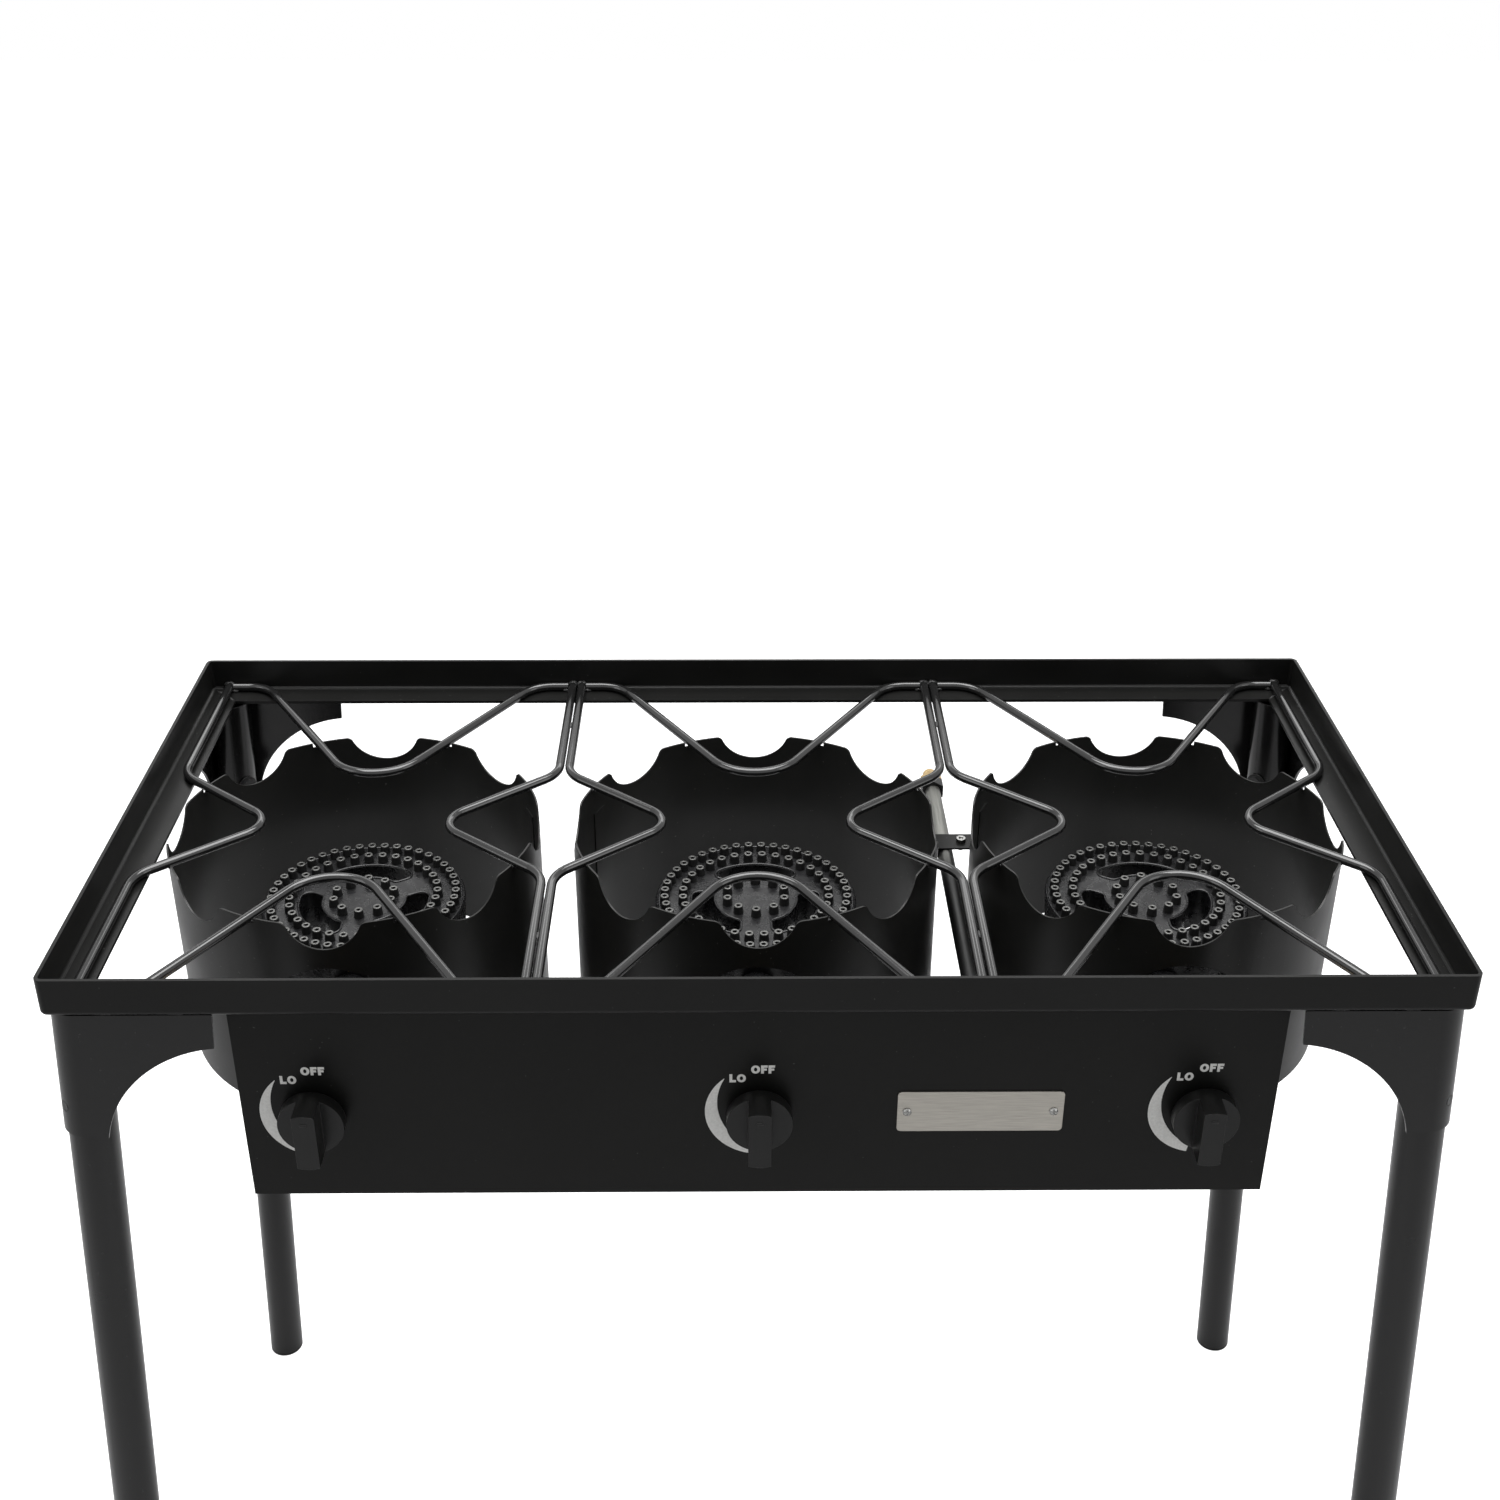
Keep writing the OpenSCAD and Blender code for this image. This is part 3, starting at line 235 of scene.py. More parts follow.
def turned_nozzle(name):
    """Blackened nozzles that turn lighter and metallic towards their tops, by height."""
    mottle_scale, mottle_depth = 500.0, 0.00005
    dark, bright = (0.010, 0.010, 0.010), (0.15, 0.15, 0.145)
    material, tree, shader = new_material(name)
    height = object_axis(tree, "Z")
    # Lighter, metallic tops, blended in by height
    top_share = value_range(tree, height, 0.0, 1.0, NOZZLE_LIGHTER_FROM_Z * MM, NOZZLE_TOP_Z * MM)
    mottle = object_noise(tree, mottle_scale, 3.0)
    patchy = tree.nodes.new("ShaderNodeMath")
    patchy.operation = "MULTIPLY"
    tree.links.new(top_share, patchy.inputs[0])
    tree.links.new(value_range(tree, mottle, 0.6, 1.0), patchy.inputs[1])
    tone = ramp(tree, patchy.outputs["Value"], dark, bright, 0.0, 1.0)
    tree.links.new(tone, shader.inputs["Base Color"])
    tree.links.new(patchy.outputs["Value"], shader.inputs["Metallic"])
    tree.links.new(value_range(tree, mottle, 0.28, 0.42), shader.inputs["Roughness"])
    bump(tree, shader, mottle, mottle_depth)
    return material


def bare_metal(name, tone, rough, stretch=(1, 1, 1), grain=300.0, depth=0.00001):
    """Bare metal with a fine grain; stretch draws the grain out into brush lines."""
    gloss_spread = 0.08
    material, tree, shader = new_material(name)
    lines = object_noise(tree, grain, 4.0, stretch)
    low, high = shades(tone, 0.8, 1.1)
    tree.links.new(ramp(tree, lines, low, high), shader.inputs["Base Color"])
    shader.inputs["Metallic"].default_value = 1.0
    gloss = value_range(tree, lines, rough - gloss_spread, rough + gloss_spread)
    tree.links.new(gloss, shader.inputs["Roughness"])
    bump(tree, shader, lines, depth)
    return material


def gas_pipe(name):
    """Bare steel pipe, darkened towards the manifold by painted shade that stands in for the dark
    guards it reflects.
    """
    grain_scale, grain_depth = 500.0, 0.00001
    along_pipe = (1, 0.04, 1)
    shade_full_y, shade_none_y = 0.010, 0.060
    shade_tone = (0.045, 0.045, 0.045)
    material, tree, shader = new_material(name)
    # Painted shade: the pipe's colour goes near black from the rear towards the manifold
    painted_shade = value_range(tree, object_axis(tree, "Y"), 1.0, 0.0, shade_full_y, shade_none_y)
    lines = object_noise(tree, grain_scale, 4.0, along_pipe)
    bare = ramp(tree, lines, (0.20, 0.20, 0.185), (0.31, 0.31, 0.29))
    tree.links.new(cover(tree, painted_shade, bare, shade_tone), shader.inputs["Base Color"])
    shader.inputs["Metallic"].default_value = 1.0
    tree.links.new(value_range(tree, lines, 0.36, 0.48), shader.inputs["Roughness"])
    bump(tree, shader, lines, grain_depth)
    return material


def moulded(name, tone, rough, specular):
    """Moulded plastic or rubber with a fine matt grain."""
    cloud_scale, gloss_spread = 40.0, 0.03
    grain_scale, grain_depth = 1500.0, 0.00001
    material, tree, shader = new_material(name)
    shader.inputs["Specular IOR Level"].default_value = specular
    cloud = object_noise(tree, cloud_scale)
    low, high = shades(tone, 0.9, 1.1)
    tree.links.new(ramp(tree, cloud, low, high), shader.inputs["Base Color"])
    gloss = value_range(tree, cloud, rough - gloss_spread, rough + gloss_spread)
    tree.links.new(gloss, shader.inputs["Roughness"])
    bump(tree, shader, object_noise(tree, grain_scale, 2.0), grain_depth)
    return material


def screen_print(name, tone):
    """Screen-printed ink, a little uneven."""
    tone_scale = 700.0
    grain_scale, grain_depth = 1800.0, 0.000008
    material, tree, shader = new_material(name)
    low, high = shades(tone, 0.88, 1.04)
    uneven = object_noise(tree, tone_scale, 4.0)
    tree.links.new(ramp(tree, uneven, low, high), shader.inputs["Base Color"])
    shader.inputs["Roughness"].default_value = 0.55
    bump(tree, shader, object_noise(tree, grain_scale, 2.0), grain_depth)
    return material


# One finish for each material slot of the record
COATS = {
    "frame_paint": powder_coat("frame_paint", (0.0055, 0.0055, 0.0052), 0.36, 0.18),
    "leg_paint": powder_coat("leg_paint", (0.0050, 0.0050, 0.0050), 0.24, 0.36),
    "panel_paint": powder_coat("panel_paint", (0.0050, 0.0050, 0.0046), 0.38, 0.15),
    "guard_paint": powder_coat("guard_paint", (0.0100, 0.0100, 0.0094), 0.34, 0.24),
    "wire_paint": powder_coat("wire_paint", (0.009, 0.009, 0.009), 0.12, 0.6, 0.000002),
    "cast_iron": cast_paint("cast_iron", (0.007, 0.007, 0.0075), 0.28),
    "nozzle_steel": turned_nozzle("nozzle_steel"),
    "dark_steel": cast_paint("dark_steel", (0.014, 0.014, 0.014), 0.40, 0.00005),
    "pipe_steel": gas_pipe("pipe_steel"),
    "zinc_steel": bare_metal("zinc_steel", (0.34, 0.34, 0.33), 0.28),
    "brass": bare_metal("brass", (0.75, 0.55, 0.28), 0.32),
    "knob_plastic": moulded("knob_plastic", (0.0060, 0.0060, 0.0058), 0.32, 0.28),
    "plate_steel": bare_metal("plate_steel", (0.43, 0.41, 0.37), 0.36, (1, 1, 40), 60.0, 0.00001),
    "foot_rubber": moulded("foot_rubber", (0.0055, 0.0055, 0.0055), 0.45, 0.2),
}
MARK_INK = screen_print("mark_ink", (0.68, 0.68, 0.66))
WELD = cast_paint("weld_paint", (0.02, 0.02, 0.02), 0.30, 0.0002)

# Width of the worn or pressed edges, in millimetres, for the nodes whose edges show
EDGE_WIDTHS = {
    "_rail": 0.8,
    "_bracket": 0.7,
    "_burner": 0.7,
    "_nozzles": 0.45,
    "_knob": 0.8,
    "control_panel": 0.6,
    "name_plate": 0.2,
    "burner_straps": 0.4,
    "burner_bolts": 0.4,
    "burner_nuts": 0.4,
    "leg_bolts": 0.4,
    "clip_screw": 0.4,
    "pipe_clip": 0.3,
    "pipe_nut": 0.5,
    "inlet_fitting": 0.5,
    "foot_caps": 1.0,
    "_air_shutter": 0.2,
    "valve_nuts": 0.4,
}


def work_edges(obj, width):
    """Rounds a node's sharp edges with modifiers and keeps its flats flat."""
    same_point = 1e-6
    flat_angle, sharp_angle = math.radians(1), math.radians(35)
    weld = obj.modifiers.new("weld", "WELD")
    weld.merge_threshold = same_point
    merge = obj.modifiers.new("merge_flats", "DECIMATE")
    merge.decimate_type = "DISSOLVE"
    merge.angle_limit = flat_angle
    edge = obj.modifiers.new("edge", "BEVEL")
    edge.width = width * MM
    edge.segments = 2
    edge.limit_method = "ANGLE"
    edge.angle_limit = sharp_angle
    even = obj.modifiers.new("even_shading", "WEIGHTED_NORMAL")
    even.keep_sharp = True


def dress_cad_nodes():
    """Gives every CAD node its record slot's material, smooth shading and worked edges."""
    slots = {part["node"]: part["material_slot"] for part in frame["record"]["subparts"]}
    for name, node in nodes.items():
        node.data.materials.clear()
        node.data.materials.append(COATS[slots[name]])
        width = next((w for end, w in EDGE_WIDTHS.items() if name.endswith(end)), 0)
        if width:
            node.data.shade_smooth()
            work_edges(node, width)


# ---- mesh pieces ---------------------------------------------------------------------------------
def piece(name, mesh_maker, material, body=STAND, smooth=True):
    """A new object made by mesh_maker(bm) in millimetres, riding on a body."""
    bm = bmesh.new()
    mesh_maker(bm)
    bmesh.ops.recalc_face_normals(bm, faces=bm.faces)
    bmesh.ops.scale(bm, vec=(MM, MM, MM), verts=bm.verts)
    mesh = bpy.data.meshes.new(name)
    bm.to_mesh(mesh)
    bm.free()
    mesh.materials.append(material)
    if smooth:
        mesh.shade_smooth()
    obj = bpy.data.objects.new(name, mesh)
    scene.collection.objects.link(obj)
    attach(obj, body)
    return obj


def sweep(bm, points, radii, sides=8, closed=False):
    """A round bar along points, with a radius at each; open ends are capped."""
    steep = 0.9
    count = len(points)
    rings = []
    for i, point in enumerate(points):
        before = points[i - 1] if closed or i else point
        after = points[(i + 1) % count] if closed or i < count - 1 else point
        along = (after - before).normalized()
        side = along.orthogonal().normalized()
        if abs(along.z) < steep:
            side = along.cross(Vector((0, 0, 1))).normalized()
        up = side.cross(along)
        ring = []
        for k in range(sides):
            angle = 2 * math.pi * k / sides
            spoke = math.cos(angle) * side + math.sin(angle) * up
            ring.append(bm.verts.new(point + radii[i] * spoke))
        rings.append(ring)
    for i in range(count if closed else count - 1):
        first, second = rings[i], rings[(i + 1) % count]
        for k in range(sides):
            bm.faces.new((first[k], first[(k + 1) % sides], second[(k + 1) % sides], second[k]))
    if not closed:
        bm.faces.new(rings[0])
        bm.faces.new(rings[-1])


def weld_bead(bm, start, end, radius, seed=0.0):
    """A rippled weld bead from start to end, thinner at its ends."""
    step_share = 0.35
    end_share, end_rise = 0.25, 4
    ripple_depth, ripple_turn = 0.14, 2.1
    uneven_depth, uneven_scale = 0.18, 0.4
    length = (end - start).length
    steps = max(6, int(length / (radius * step_share)))
    points, radii = [], []
    for i in range(steps + 1):
        t = i / steps
        point = start.lerp(end, t)
        swell = min(1.0, end_rise * t + end_share, end_rise * (1 - t) + end_share)
        uneven = noise.noise(point * uneven_scale + Vector((seed, 0, 0)))
        ripple = 1 + ripple_depth * math.sin(i * ripple_turn) + uneven_depth * uneven
        points.append(point)
        radii.append(radius * swell * ripple)
    sweep(bm, points, radii, 10)


def weld_lump(bm, centre, size, seed=0.0):
    """An uneven lump of weld; size gives its three half sizes."""
    coarse_depth, coarse_scale = 0.28, 1.7
    fine_depth, fine_scale = 0.1, 5
    made = bmesh.ops.create_icosphere(bm, subdivisions=3, radius=1)
    for vert in made["verts"]:
        way = vert.co.normalized()
        coarse = noise.noise(way * coarse_scale + Vector((seed, seed, 0)))
        fine = noise.noise(way * fine_scale)
        rough = 1 + coarse_depth * coarse + fine_depth * fine
        vert.co = centre + Vector((way.x * size[0], way.y * size[1], way.z * size[2])) * rough


def prism(bm, first, second):
    """A solid between two outlines that have the same number of points."""
    near = [bm.verts.new(point) for point in first]
    far = [bm.verts.new(point) for point in second]
    bm.faces.new(near)
    bm.faces.new(far)
    for i in range(len(near)):
        j = (i + 1) % len(near)
        bm.faces.new((near[i], near[j], far[j], far[i]))


# ---- welds ---------------------------------------------------------------------------------------
# Insets and reaches are measured from the frame's outer faces or the wires' ends, rises and drops
# from the ledge, the wire or the part that is joined; a lump has three half sizes; in millimetres
MITRE_INSET = 5
MITRE_SINK = 0.5
MITRE_R = 1.3
MITRE_UNDER_R = 1.2
CORNER_INSET = 1.5
CORNER_END_GAP = 1
TACK_REACHES = (40, 85)
TACK_INSET = 3.5
TACK_DROP = 0.5
TACK_HALF_L = 7
TACK_R = 1.4
WIRE_END_LUMP = (4.6, 2.8, 3.4)
WIRE_END_INSET = 1.5
WIRE_END_RISE = 0.6
VEE_REST_LUMP = (3.4, 3.2, 2.4)
VEE_REST_REACH = 5
VEE_REST_INSET = 1
VEE_REST_DROP = 2.2
GUARD_TACK_LUMP = (1.7, 1.7, 1.3)
GUARD_TACK_DROP = 0.3
NEIGHBOUR_BEAD_Y = 150
NEIGHBOUR_BEAD_RISE = 1.4
NEIGHBOUR_BEAD_HALF_L = 4
NEIGHBOUR_BEAD_R = 1.2
STRAP_BEAD_INSET = 2
STRAP_BEAD_GAP = 0.6
STRAP_BEAD_RISE = 0.2
STRAP_BEAD_R = 1.2
BRAZE_GAP = 0.3
BRAZE_RISE = 0.2
BRAZE_R = 0.9
BRAZE_UNEVEN = 0.2
BRAZE_NOISE_SCALE = 0.9
# Radius of the angle iron's inside corner, and how far a drawn face sinks into the steel it lies on
FILLET_R = 2.2
SINK = 0.02


def frame_welds(bm):
    """Beads along the ledge's mitres and up the rear-left corner, and tacks on the brackets."""
    for side in (-1, 1):
        for end in (-1, 1):
            points = []
            for inset in (LEDGE_W, MITRE_INSET):
                x, y = side * (FRAME_HALF_W - inset), end * (FRAME_HALF_D - inset)
                points.append(Vector((x, y, LEDGE_Z - MITRE_SINK)))
            inner, outer = points
            weld_bead(bm, inner, outer, MITRE_R, side + 2 * end)
            under = Vector((0, 0, ANGLE_T - 2 * MITRE_SINK))
            weld_bead(bm, inner - under, outer - under, MITRE_UNDER_R, side + 3 * end)
    corner = Vector((-FRAME_HALF_W + CORNER_INSET, FRAME_HALF_D - CORNER_INSET, 0))
    foot = corner + Vector((0, 0, LEDGE_UNDER_Z + CORNER_END_GAP))
    head = corner + Vector((0, 0, TOP_Z - CORNER_END_GAP))
    weld_bead(bm, foot, head, MITRE_R, 5)
    for side in (-1, 1):
        for end in (-1, 1):
            for reach in TACK_REACHES:
                for along_x in (True, False):
                    inset_x, inset_y = (reach, TACK_INSET) if along_x else (TACK_INSET, reach)
                    x, y = side * (FRAME_HALF_W - inset_x), end * (FRAME_HALF_D - inset_y)
                    centre = Vector((x, y, LEDGE_UNDER_Z - TACK_DROP))
                    half = Vector((TACK_HALF_L, 0, 0)) if along_x else Vector((0, TACK_HALF_L, 0))
                    seed = reach * (side if along_x else end)
                    weld_bead(bm, centre - half, centre + half, TACK_R, seed)


def rail_fillets(bm):
    """The rolled angle iron's round inside corner, along all four rails."""
    steps = 6
    wall_x, wall_y = FRAME_HALF_W - ANGLE_T, FRAME_HALF_D - ANGLE_T
    corners = [(-wall_x, -wall_y), (wall_x, -wall_y), (wall_x, wall_y), (-wall_x, wall_y)]
    rings = []
    for x, y in corners:
        inward = Vector((-math.copysign(1, x), -math.copysign(1, y), 0))
        ring = []
        for i in range(steps + 1):
            angle = math.pi / 2 * i / steps
            reach = FILLET_R * (1 - math.sin(angle)) - SINK
            rise = FILLET_R * (1 - math.cos(angle)) - SINK
            ring.append(bm.verts.new(Vector((x, y, LEDGE_Z + rise)) + inward * reach))
        ring.append(bm.verts.new(Vector((x, y, LEDGE_Z - SINK)) - inward * SINK))
        rings.append(ring)
    for first, second in zip(rings, rings[1:] + rings[:1]):
        for k in range(len(first)):
            j = (k + 1) % len(first)
            bm.faces.new((first[k], first[j], second[j], second[k]))


def line_meets_circle(start, way, radius):
    """Where a line from start along the unit vector way leaves a circle round the origin."""
    along = start.dot(way)
    return start + way * (-along + math.sqrt(along * along - start.dot(start) + radius * radius))


def wire_welds(bm):
    """Lumps that join the wires' ends to the rails, tacks between neighbours and at the guards."""
    side_way = Vector((-(SIDE_WIRE_X - SIDE_NOSE_X), -SIDE_BEND_Y)).normalized()
    vee_way = Vector((-VEE_HALF_W, -(VEE_REST_Y - VEE_NOSE_Y))).normalized()
    middle_r = GUARD_R - GUARD_T / 2
    hits = (
        line_meets_circle(Vector((-SIDE_NOSE_X, 0)), side_way, middle_r),
        line_meets_circle(Vector((0, -VEE_NOSE_Y)), vee_way, middle_r),
    )
    for cell in CELLS.values():
        for side in (-1, 1):
            for end in (-1, 1):
                # The seeds only have to differ, so that no two lumps are alike
                seed = 7.3 * cell + 2.1 * side + end
                x = cell * CELL_PITCH + side * SIDE_WIRE_X
                y = end * (WIRE_END_Y - WIRE_END_INSET)
                weld_lump(bm, Vector((x, y, WIRE_Z + WIRE_END_RISE)), WIRE_END_LUMP, seed)
                x -= side * VEE_REST_REACH
                y = end * (VEE_REST_Y - VEE_REST_INSET)
                weld_lump(bm, Vector((x, y, WIRE_Z - VEE_REST_DROP)), VEE_REST_LUMP, seed + 0.7)
                for hit in hits:
                    x, y = cell * CELL_PITCH - side * hit.x, -end * hit.y
                    place = Vector((x, y, WIRE_Z - WIRE_R - GUARD_TACK_DROP))
                    weld_lump(bm, place, GUARD_TACK_LUMP, seed + hit.x)
    for gap in (-0.5, 0.5):
        for y in (-NEIGHBOUR_BEAD_Y, NEIGHBOUR_BEAD_Y):
            place = Vector((gap * CELL_PITCH, y, WIRE_Z + NEIGHBOUR_BEAD_RISE))
            half = Vector((0, NEIGHBOUR_BEAD_HALF_L, 0))
            weld_bead(bm, place - half, place + half, NEIGHBOUR_BEAD_R, y * gap)


def strap_welds(bm):
    """Beads at both ends of each burner strap, inside its guard."""
    inner_r = GUARD_R - GUARD_T
    half_l = STRAP_HALF_W - STRAP_BEAD_INSET
    for cell in CELLS.values():
        for side in (-1, 1):
            points = []
            for y in (STRAP_Y - half_l, STRAP_Y + half_l):
                reach = math.sqrt(inner_r**2 - y * y) - STRAP_BEAD_GAP
                x = cell * CELL_PITCH + side * reach
                points.append(Vector((x, y, STRAP_TOP_Z + STRAP_BEAD_RISE)))
            weld_bead(bm, points[0], points[1], STRAP_BEAD_R, cell + side)


def gas_line_welds(bm):
    """Brazed rings where the supply pipe and the valve tails enter the manifold."""
    steps = 40
    joints = [(PIPE_FRONT_X, PIPE_R)]
    joints += [(cell * CELL_PITCH, VALVE_TAIL_R) for cell in CELLS.values()]
    for x, radius in joints:
        points, radii = [], []
        for i in range(steps):
            angle = 2 * math.pi * i / steps
            y = (radius + BRAZE_GAP) * math.sin(angle)
            z = MANIFOLD_Z + math.sqrt(MANIFOLD_R**2 - y * y) + BRAZE_RISE
            points.append(Vector((x + (radius + BRAZE_GAP) * math.cos(angle), MANIFOLD_Y + y, z)))
            radii.append(BRAZE_R + BRAZE_UNEVEN * noise.noise(points[-1] * BRAZE_NOISE_SCALE))
        sweep(bm, points, radii, closed=True)


# ---- wind guards ---------------------------------------------------------------------------------
# Where each guard's sheet laps, in degrees round it, and which way the lap runs
SEAM_ANGLES = {"left": 27, "middle": 151, "right": 150}
SEAM_TURNS = {"left": -1, "middle": 1, "right": 1}
SEAM_WIDTH_DEG = 7
SEAM_T = 0.9
SEAM_BOTTOM_Z = GUARD_BOTTOM_Z + 0.5
SEAM_TOP_Z = WIRE_Z - SCALLOP_DEPTH - 3


def seam_strip(bm, cell, start, turn):
    """The lapped edge of a guard's sheet, inside, from its bottom to just under the scallops."""
    steps = 8
    centre = Vector((cell * CELL_PITCH, 0, 0))
    outer_r = GUARD_R - GUARD_T - SINK
    columns = []
    for i in range(steps + 1):
        angle = start + turn * SEAM_WIDTH_DEG * i / steps
        column = []
        for radius in (outer_r, outer_r - SEAM_T):
            for z in (SEAM_BOTTOM_Z, SEAM_TOP_Z):
                column.append(bm.verts.new(polar(radius, angle, z) + centre))
        columns.append(column)
    for a, b in zip(columns, columns[1:]):
        for low, high in ((0, 1), (2, 3), (0, 2), (1, 3)):
            bm.faces.new((a[low], b[low], b[high], a[high]))
    for column in (columns[0], columns[-1]):
        bm.faces.new((column[0], column[1], column[3], column[2]))


# ---- burner castings -----------------------------------------------------------------------------
# Radii of the cast corner fillets, then the webs that fill them and the lips, in millimetres
RING_FILLET = 7
DISC_FILLET = 5
WEB_SINK = 1.0
WEB_TOP_DROP = 0.1
WEB_FOOT_RISE = 0.3
LIP_R = 0.9
LIP_RISE = 0.1
LIP_UNEVEN = 0.2
LIP_NOISE_SCALE = 0.35
RIM_LIP_INSET = 1.6
RIM_STEP_DEG = 3
# Half of the angle between two arms, in radians
HALF_GAP = math.pi / 3


def fillet_centre(radius, inward):
    """Centre of a fillet between an arm along X and the ring's bore, or the disc if not inward."""
    reach = RING_BORE_R - radius if inward else DISC_R + radius
    return Vector((math.sqrt(reach**2 - (ARM_HALF_W + radius) ** 2), ARM_HALF_W + radius))


def arc(centre, radius, start, end, steps=8, first=0):
    """Points of an arc from start to end, in radians, leaving out those before number first."""
    points = []
    for i in range(first, steps + 1):
        angle = start + (end - start) * i / steps
        points.append(centre + radius * Vector((math.cos(angle), math.sin(angle))))
    return points


def window_path():
    """Points round the opening between the ring, the disc and the first two arms."""
    axis = Vector((0, 0))
    down = -math.pi / 2
    ring_centre = fillet_centre(RING_FILLET, True)
    disc_centre = fillet_centre(DISC_FILLET, False)
    ring_turn = math.atan2(ring_centre.y, ring_centre.x)
    disc_turn = math.atan2(disc_centre.y, disc_centre.x)
    half = arc(axis, RING_BORE_R, HALF_GAP, ring_turn)
    half += arc(ring_centre, RING_FILLET, ring_turn, down, first=1)
    half += arc(disc_centre, DISC_FILLET, down, disc_turn - math.pi)
    half += arc(axis, DISC_R, disc_turn, HALF_GAP, first=1)
    turned = [Matrix.Rotation(math.radians(ARM_ANGLES[0]), 2) @ p for p in half]
    mirrored = [Vector((-p.x, p.y)) for p in reversed(turned)]
    return turned[:-1] + mirrored[:-1]


def corner_webs():
    """The cast fillets that fill the corners between an arm and the ring or the disc."""
    webs = []
    for radius, inward in ((RING_FILLET, True), (DISC_FILLET, False)):
        edge = RING_BORE_R if inward else DISC_R
        centre = fillet_centre(radius, inward)
        turn = math.atan2(centre.y, centre.x)
        corner_turn = math.asin(ARM_HALF_W / edge)
        sunk = edge + WEB_SINK if inward else edge - WEB_SINK
        web = arc(Vector((0, 0)), sunk, corner_turn, turn, 6)
        web += arc(centre, radius, turn if inward else turn - math.pi, -math.pi / 2)
        web.append(Vector((centre.x, ARM_HALF_W - WEB_SINK)))
        web.append(Vector((edge * math.cos(corner_turn), ARM_HALF_W - WEB_SINK)))
        webs.append(web)
    return webs


def lip(bm, path):
    """An uneven raised lip along a closed path."""
    radii = [LIP_R * (1 + LIP_UNEVEN * noise.noise(p * LIP_NOISE_SCALE)) for p in path]
    sweep(bm, path, radii, closed=True)


def burner_trim(bm, cell):
    """Corner fillets and the raised casting lips round a burner's openings and rim."""
    place = Vector((cell * CELL_PITCH, 0, RING_TOP_Z))
    for web in corner_webs():
        for arm in ARM_ANGLES:
            turn = Matrix.Rotation(math.radians(arm), 2)
            for side in (-1, 1):
                points = [turn @ Vector((p.x, side * p.y)) for p in web]
                low = [place + Vector((p.x, p.y, WEB_FOOT_RISE - RING_H)) for p in points]
                high = [place + Vector((p.x, p.y, -WEB_TOP_DROP)) for p in points]
                prism(bm, low, high)
    for arm in ARM_ANGLES:
        turn = Matrix.Rotation(math.radians(arm - ARM_ANGLES[0]), 2)
        spots = [turn @ p for p in window_path()]
        lip(bm, [place + Vector((spot.x, spot.y, LIP_RISE)) for spot in spots])
    lip(bm, [place + polar(RING_R - RIM_LIP_INSET, turn) for turn in range(0, 360, RIM_STEP_DEG)])


# ---- panel marks, plate screws and knobs ---------------------------------------------------------
# A knob's pointer: its size, its edge radius and its height over the knob's axis
PIP = (4.4, 1.0, 2.0)
PIP_EDGE_R = 0.3
PIP_RISE = 15
# The printed marks, and the sizes of their letters
MARK_T = 0.05
MARK_GAP = 0.01
STROKE = 1.9
BAR = STROKE * 0.9
BAR_SHORT = 0.5
LETTER_H = 6.7
WIDE_LETTER = 6.0
NARROW_LETTER = 4.3
LETTER_GAP = 0.6
# Centres of the words, the first number measured from the knob's axis
OFF_PLACE = (2.3, 715.2)
LO_PLACE = (-14.4, 708.0)
# The crescent, its ends in degrees anticlockwise from straight up. It lies between an arc round
# the knob's axis and an arc of a wider circle, whose centre is to the right of and above the axis
CRESCENT_START = 40
CRESCENT_END = 169
CRESCENT_STEPS = 24
CRESCENT_OUTER_R = 36.3
CRESCENT_INNER_R = 43.2
CRESCENT_INNER_CENTRE = Vector((15.1, 7.6))
# The name plate's pan-head screws, each with a cross recess
HEAD_R = 3.0
HEAD_H = 1.8
HEAD_RIM_SHARE = 0.35
CROSS_HALF_W = 0.55
CROSS_HALF_L = 2.0
CROSS_DEPTH_SHARE = 0.8
CROSS_TAPER = 0.4


def letter_l(x, z):
    """Outline of an L."""
    stem, right = x + STROKE, x + NARROW_LETTER
    foot, top = z + STROKE, z + LETTER_H
    return [[(x, z), (right, z), (right, foot), (stem, foot), (stem, top), (x, top)]]


def letter_f(x, z):
    """Outline of an F, its lower bar shorter and thinner than its head."""
    stem, right = x + STROKE, x + NARROW_LETTER
    head, top = z + LETTER_H - STROKE, z + LETTER_H
    short = right - BAR_SHORT
    bar = z + LETTER_H / 2 - STROKE / 2
    foot = [(x, z), (stem, z), (stem, bar), (short, bar), (short, bar + BAR), (stem, bar + BAR)]
    return [foot + [(stem, head), (right, head), (right, top), (x, top)]]


def letter_o(x, z):
    """Quads of an upright bold oval ring."""
    centre = (x + WIDE_LETTER / 2, z + LETTER_H / 2)
    steps = 28
    quads = []
    for i in range(steps):
        quad = []
        for k, shrink in ((i, 0), (i + 1, 0), (i + 1, 1), (i, 1)):
            angle = 2 * math.pi * k / steps
            half_w = WIDE_LETTER / 2 - shrink * STROKE
            half_h = LETTER_H / 2 - shrink * BAR
            across, along = half_w * math.cos(angle), half_h * math.sin(angle)
            quad.append((centre[0] + across, centre[1] + along))
        quads.append(quad)
    return quads


def word(centre, letters):
    """Outlines of a word of the letters L, F and O, centred on a point."""
    makers = {"L": letter_l, "F": letter_f, "O": letter_o}
    widths = [WIDE_LETTER if letter == "O" else NARROW_LETTER for letter in letters]
    x = centre[0] - (sum(widths) + LETTER_GAP * (len(letters) - 1)) / 2
    z = centre[1] - LETTER_H / 2
    outlines = []
    for letter, width in zip(letters, widths):
        outlines += makers[letter](x, z)
        x += width + LETTER_GAP
    return outlines


